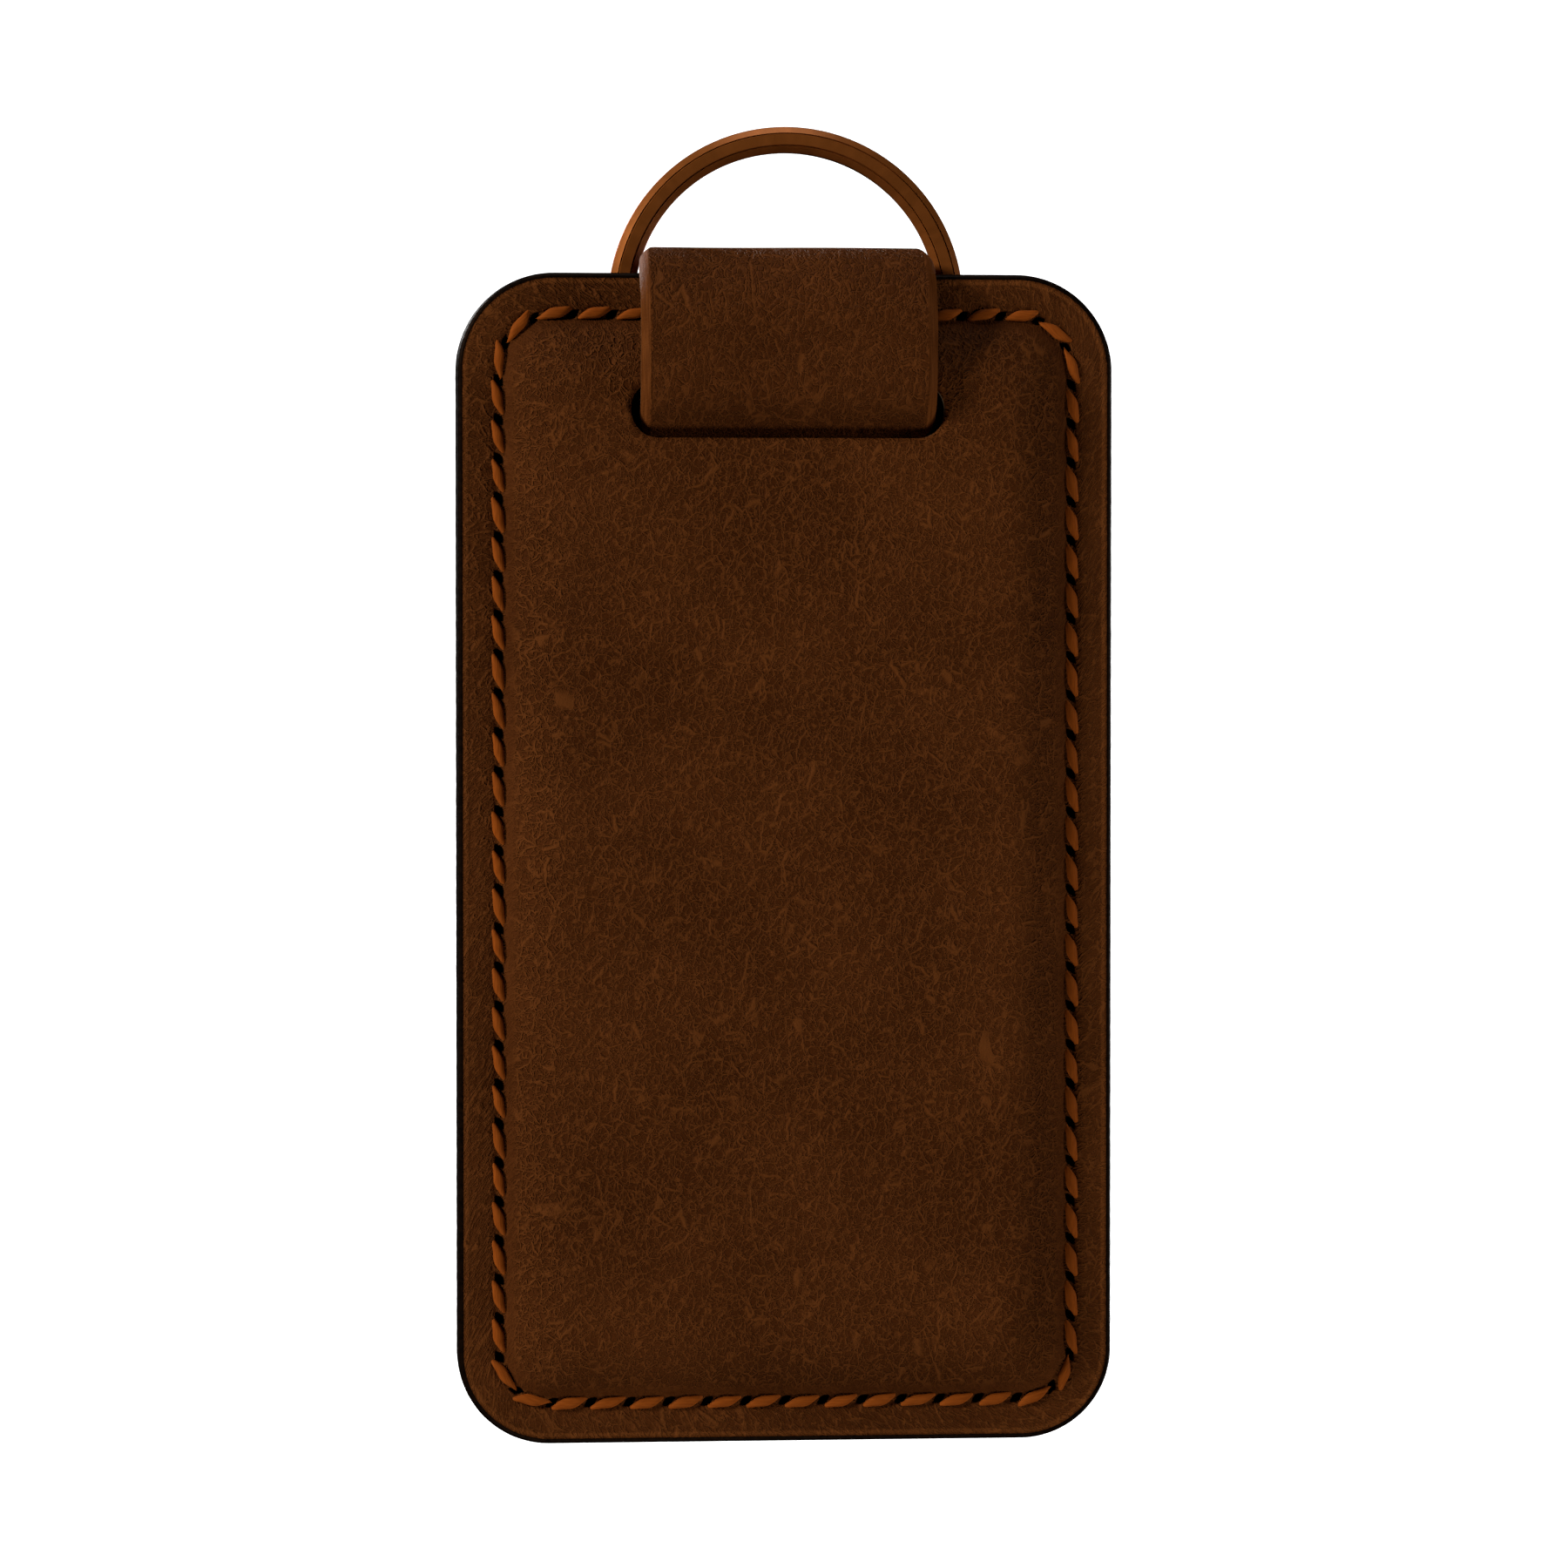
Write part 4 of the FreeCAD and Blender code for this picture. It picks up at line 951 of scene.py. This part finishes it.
FINE, COARSE = (236, 490, 36), (60, 110, 12)
WINDOW_COUNTS = (150, 80, 14)
SLOT_HOLE = (*SLOT, LIPS, (110, 14, 14))
WINDOW_HOLE = (*WINDOW, LIPS[:6], WINDOW_COUNTS)
PLAIN_SLOT = (*SLOT, [0], (40, 6, 8))
PLAIN_WINDOW = (*WINDOW, [0], (50, 24, 8))
INSIDE_INSETS = [0, 1.8, 2.9, 5.3, 6.4, 7.3, 8.3]
LAYER_INSETS = [0, 2, 4.6, 4.75, 5, 5.4, 5.9, 6.5, 7.2, 8.0, 8.8]
FLAT_INSETS = [0, 2, 5]


# Needle-hole masks that the case leather's colour turns into painted shade.
def front_hole_shade(x, z, inset):
    return np.where(np.abs(inset - STITCH_INSET) < SEAM_REACH, needle_holes(x, z, HOLE_PLACES), 0.0)


def back_hole_shade(x, z, inset):
    return np.maximum(needle_holes(x, z, HOLE_PLACES, -1), needle_holes(x, z, MOUTH_HOLES, -1))


def in_case(piece, node):
    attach(piece, "case")
    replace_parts(piece, node)


def make_front():
    leather = panel("front_panel", front_face, layer(LEATHER), FRONT_INSETS, INSIDE_INSETS, FINE,
                    [SLOT_HOLE], 0.6, case_leather, {"hole": front_hole_shade})
    stiffener = panel("front_board", layer(LEATHER), layer(LEATHER + STIFFENER), LAYER_INSETS,
                      LAYER_INSETS, COARSE, [PLAIN_SLOT], 3.0, board)
    lining = panel("front_cloth", layer(LEATHER + STIFFENER), layer(LEATHER + STIFFENER + LINING),
                   LAYER_INSETS, LAYER_INSETS, COARSE, [PLAIN_SLOT], 3.0, cloth)
    in_case(leather, "front_leather")
    in_case(stiffener, "front_stiffener")
    in_case(lining, "front_lining")


def make_back():
    leather = panel("back_panel", back_face, flat_face(STIFFENER_FACE), BACK_INSETS, INSIDE_INSETS[:3],
                    FINE, [WINDOW_HOLE], 0.45, case_leather, {"hole": back_hole_shade})
    stiffener = panel("back_board", flat_face(STIFFENER_FACE), flat_face(LINING_FACE), FLAT_INSETS,
                      FLAT_INSETS, COARSE, [PLAIN_WINDOW], 4.0, board)
    lining = panel("back_cloth", flat_face(LINING_FACE), flat_face(WELT / 2), FLAT_INSETS, FLAT_INSETS,
                   COARSE, [PLAIN_WINDOW], 4.0, cloth)
    in_case(leather, "back_leather")
    in_case(stiffener, "back_stiffener")
    in_case(lining, "back_lining")


def make_stitching():
    stitches("stitches_front", STITCH_PLACES, CASE_FACE, 1, 0.08, thread, "seam_thread_front")
    stitches("stitches_back", STITCH_PLACES, CASE_FACE, -1, 0.0, thread, "seam_thread_back")
    stitches("stitches_mouth", MOUTH_PLACES, CASE_FACE, -1, 0.0, thread, "mouth_thread")


def window_loop(inset):
    half, low, high, radius = WINDOW
    return rounded_loop(half + inset, low - inset, high + inset, radius + inset, radius + inset,
                        WINDOW_COUNTS)


def make_edges():
    """The painted rim, a rounded strip that wraps the seam's edge, and the painted mouth."""
    to_back = [(-0.07, 0.5), (-0.05, 1.4), (-0.02, 1.95), (0.05, 2.25), (0.17, 2.45), (0.33, 2.57),
               (0.50, 2.60)]
    outside = [(inset, -depth) for inset, depth in reversed(to_back)] + to_back
    inside = [(0.5, 2.2), (0.3, 1.8), (0.3, -1.8), (0.5, -2.2)]
    edge_band("painted_edge", lambda inset: case_loop(inset, FINE), outside + inside, edge_paint, 31)
    mouth = [(0.25, 2.2), (0.25, 1.4), (0.2, 0.6), (0.05, 0.58), (-0.05, 0.7), (-0.06, 1.4), (-0.05, 2.2),
             (0.03, 2.42), (0.15, 2.55), (0.35, 2.60)]
    edge_band("painted_mouth", window_loop, mouth, edge_paint, 32)


def make_strap():
    """One two-layer strap. Its meshes part at one row of its path, into the front half and the tab's half.
    """
    outer = (STRAP_LINING + LAYER_GAP, STRAP_THICK, (1.05, 0.95), strap_leather, "strap_leather")
    inner = (0.0, STRAP_LINING, (0.3, 0.12), strap_inner, "strap_lining")
    front_outer = strap_layer("strap_front", 0, SPLIT_ROW, *outer)
    front_inner = strap_layer("strap_front_inside", 0, SPLIT_ROW, *inner)
    tab_outer = strap_layer("strap_tab", SPLIT_ROW, LAST_ROW, *outer)
    tab_inner = strap_layer("strap_tab_inside", SPLIT_ROW, LAST_ROW, *inner)
    for piece, node in ((front_outer, "strap_front_leather"), (front_inner, "strap_front_lining")):
        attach(piece, "case")
        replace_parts(piece, node)
    for piece, node in ((tab_outer, "strap_tab_leather"), (tab_inner, "strap_tab_lining")):
        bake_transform(piece)
        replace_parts(piece, node)


def make_snap():
    """The press snap's four turned pieces. Cap and socket ride the tab, stud and post the back."""
    cap = [(1.9, 0.0), (1.9, 6.15), (2.02, 6.2), (2.3, 6.15), (2.55, 5.7), (2.85, 4.9), (3.08, 3.8),
           (3.22, 2.5), (3.29, 1.2), (3.3, 0.0)]
    socket = [(0.0, 1.7), (0.0, 4.6), (-0.35, 4.7), (-1.6, 4.6), (-1.9, 4.2), (-1.9, 3.5), (-1.7, 3.2),
              (-1.1, 3.3), (-0.5, 3.25), (-0.5, 1.7)]
    stud = [(2.6, 1.7), (2.6, 4.5), (2.9, 4.45), (3.0, 4.0), (3.05, 2.6), (3.3, 2.4), (3.6, 2.45),
            (3.95, 2.9), (4.2, 2.85), (4.4, 2.4), (4.4, 1.7)]
    post = [(0.9, 0.0), (0.9, 3.9), (1.0, 4.0), (1.35, 3.9), (1.4, 1.65), (1.6, 1.6), (4.05, 1.6),
            (4.1, 1.4), (4.1, 0.0)]
    turned("snap_cap_dome", cap, on_tab, "tab", "snap_cap")
    turned("snap_socket_cup", socket, on_tab, "tab", "snap_socket")
    turned("snap_stud_head", stud, on_back, "case", "snap_stud")
    turned("snap_post_rivet", post, on_back, "case", "snap_post")


def colour_welt():
    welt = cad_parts["seam_welt"]
    welt.data.materials.clear()
    welt.data.materials.append(welt_cloth)


make_front()
make_back()
make_stitching()
make_edges()
make_strap()
make_snap()
make_ring()
colour_welt()

# ---------------------------------------------------------------- stage, light and camera

MIDDLE = Vector(place([(0.0, 0.0, 65.2)])[0])

# Each lamp's name, place from the case's middle, size in metres and power in watts.
LAMPS = [
    ("key", (-0.93, -0.42, 0.50), (0.20, 0.20), 13.8),
    ("right_fill", (1.0, -0.38, 0.05), (0.30, 0.30), 5.0),
    ("low_fill", (-0.2, -0.6, -0.95), (0.50, 0.50), 6.6),
    ("top_rim", (0.0, 0.06, 1.0), (0.5, 0.3), 2.5),
    ("back_key", (-0.50, 0.62, 0.38), (0.25, 0.25), 6.0),
    ("back_fill", (0.55, 0.60, -0.05), (0.3, 0.3), 3.6),
]
LENS, SENSOR = 135, 36
VIEW_AZIMUTH, VIEW_ELEVATION, VIEW_WIDTH = math.radians(-5), math.radians(1.5), 0.1559


def backdrop():
    """A pale floor that curves up into a pale wall, well clear of the hanging case."""
    low = MIDDLE.z - 0.16
    turn = np.linspace(0, math.pi / 2, 24)
    depth = np.concatenate([[-2.0], 0.6 + 0.4 * np.sin(turn), [1.0]])
    height = np.concatenate([[low], low + 0.4 * (1 - np.cos(turn)), [low + 2.6]])
    across = np.linspace(-2.5, 2.5, 9)
    points = [(x, y, z) for y, z in zip(depth, height) for x in across]
    mesh = bpy.data.meshes.new("backdrop")
    mesh.from_pydata(points, [], grid_faces(len(depth), len(across)))
    mesh.polygons.foreach_set("use_smooth", [True] * len(mesh.polygons))
    nodes = Nodes("backdrop")
    at = nodes.tree.nodes.new("ShaderNodeTexCoord").outputs["Object"]
    pale = nodes.mix(nodes.noise(at, 3.0), rgb(0.9, 0.9, 0.9), rgb(0.92, 0.92, 0.92))
    nodes.set(Base_Color=pale, Roughness=0.9, Emission_Color=rgb(1, 1, 1), Emission_Strength=0.85)
    mesh.materials.append(nodes.material)
    piece = bpy.data.objects.new("backdrop", mesh)
    bpy.context.scene.collection.objects.link(piece)
    piece.visible_diffuse = False
    piece.visible_glossy = False
    piece.visible_shadow = False


def soft_light(name, offset, size, power):
    """A soft lamp at this offset from the middle of the case, turned towards it."""
    data = bpy.data.lights.new(name, "AREA")
    data.shape = "RECTANGLE"
    data.size, data.size_y = size
    data.energy = power
    lamp = bpy.data.objects.new(name, data)
    bpy.context.scene.collection.objects.link(lamp)
    lamp.visible_camera = False
    lamp.location = MIDDLE + Vector(offset)
    lamp.rotation_euler = (MIDDLE - lamp.location).to_track_quat("-Z", "Y").to_euler()


def white_world():
    """White where the camera sees past the backdrop, without lighting anything."""
    world = bpy.data.worlds.new("studio")
    bpy.context.scene.world = world
    world.use_nodes = True
    background = world.node_tree.nodes["Background"]
    background.inputs["Color"].default_value = rgb(1, 1, 1)
    background.inputs["Strength"].default_value = 1.0
    world.cycles_visibility.diffuse = False
    world.cycles_visibility.glossy = False


def add_camera():
    data = bpy.data.cameras.new("camera")
    data.lens = LENS
    data.sensor_width = SENSOR
    data.clip_start, data.clip_end = 0.05, 20
    camera = bpy.data.objects.new("camera", data)
    bpy.context.scene.collection.objects.link(camera)
    level = math.cos(VIEW_ELEVATION)
    across, away = math.sin(VIEW_AZIMUTH) * level, -math.cos(VIEW_AZIMUTH) * level
    back = Vector((across, away, math.sin(VIEW_ELEVATION)))
    camera.location = MIDDLE + back * VIEW_WIDTH * LENS / SENSOR
    camera.rotation_euler = (-back).to_track_quat("-Z", "Y").to_euler()
    bpy.context.scene.camera = camera


backdrop()
for lamp in LAMPS:
    soft_light(*lamp)
white_world()
bpy.context.scene.view_settings.view_transform = "Standard"
add_camera()
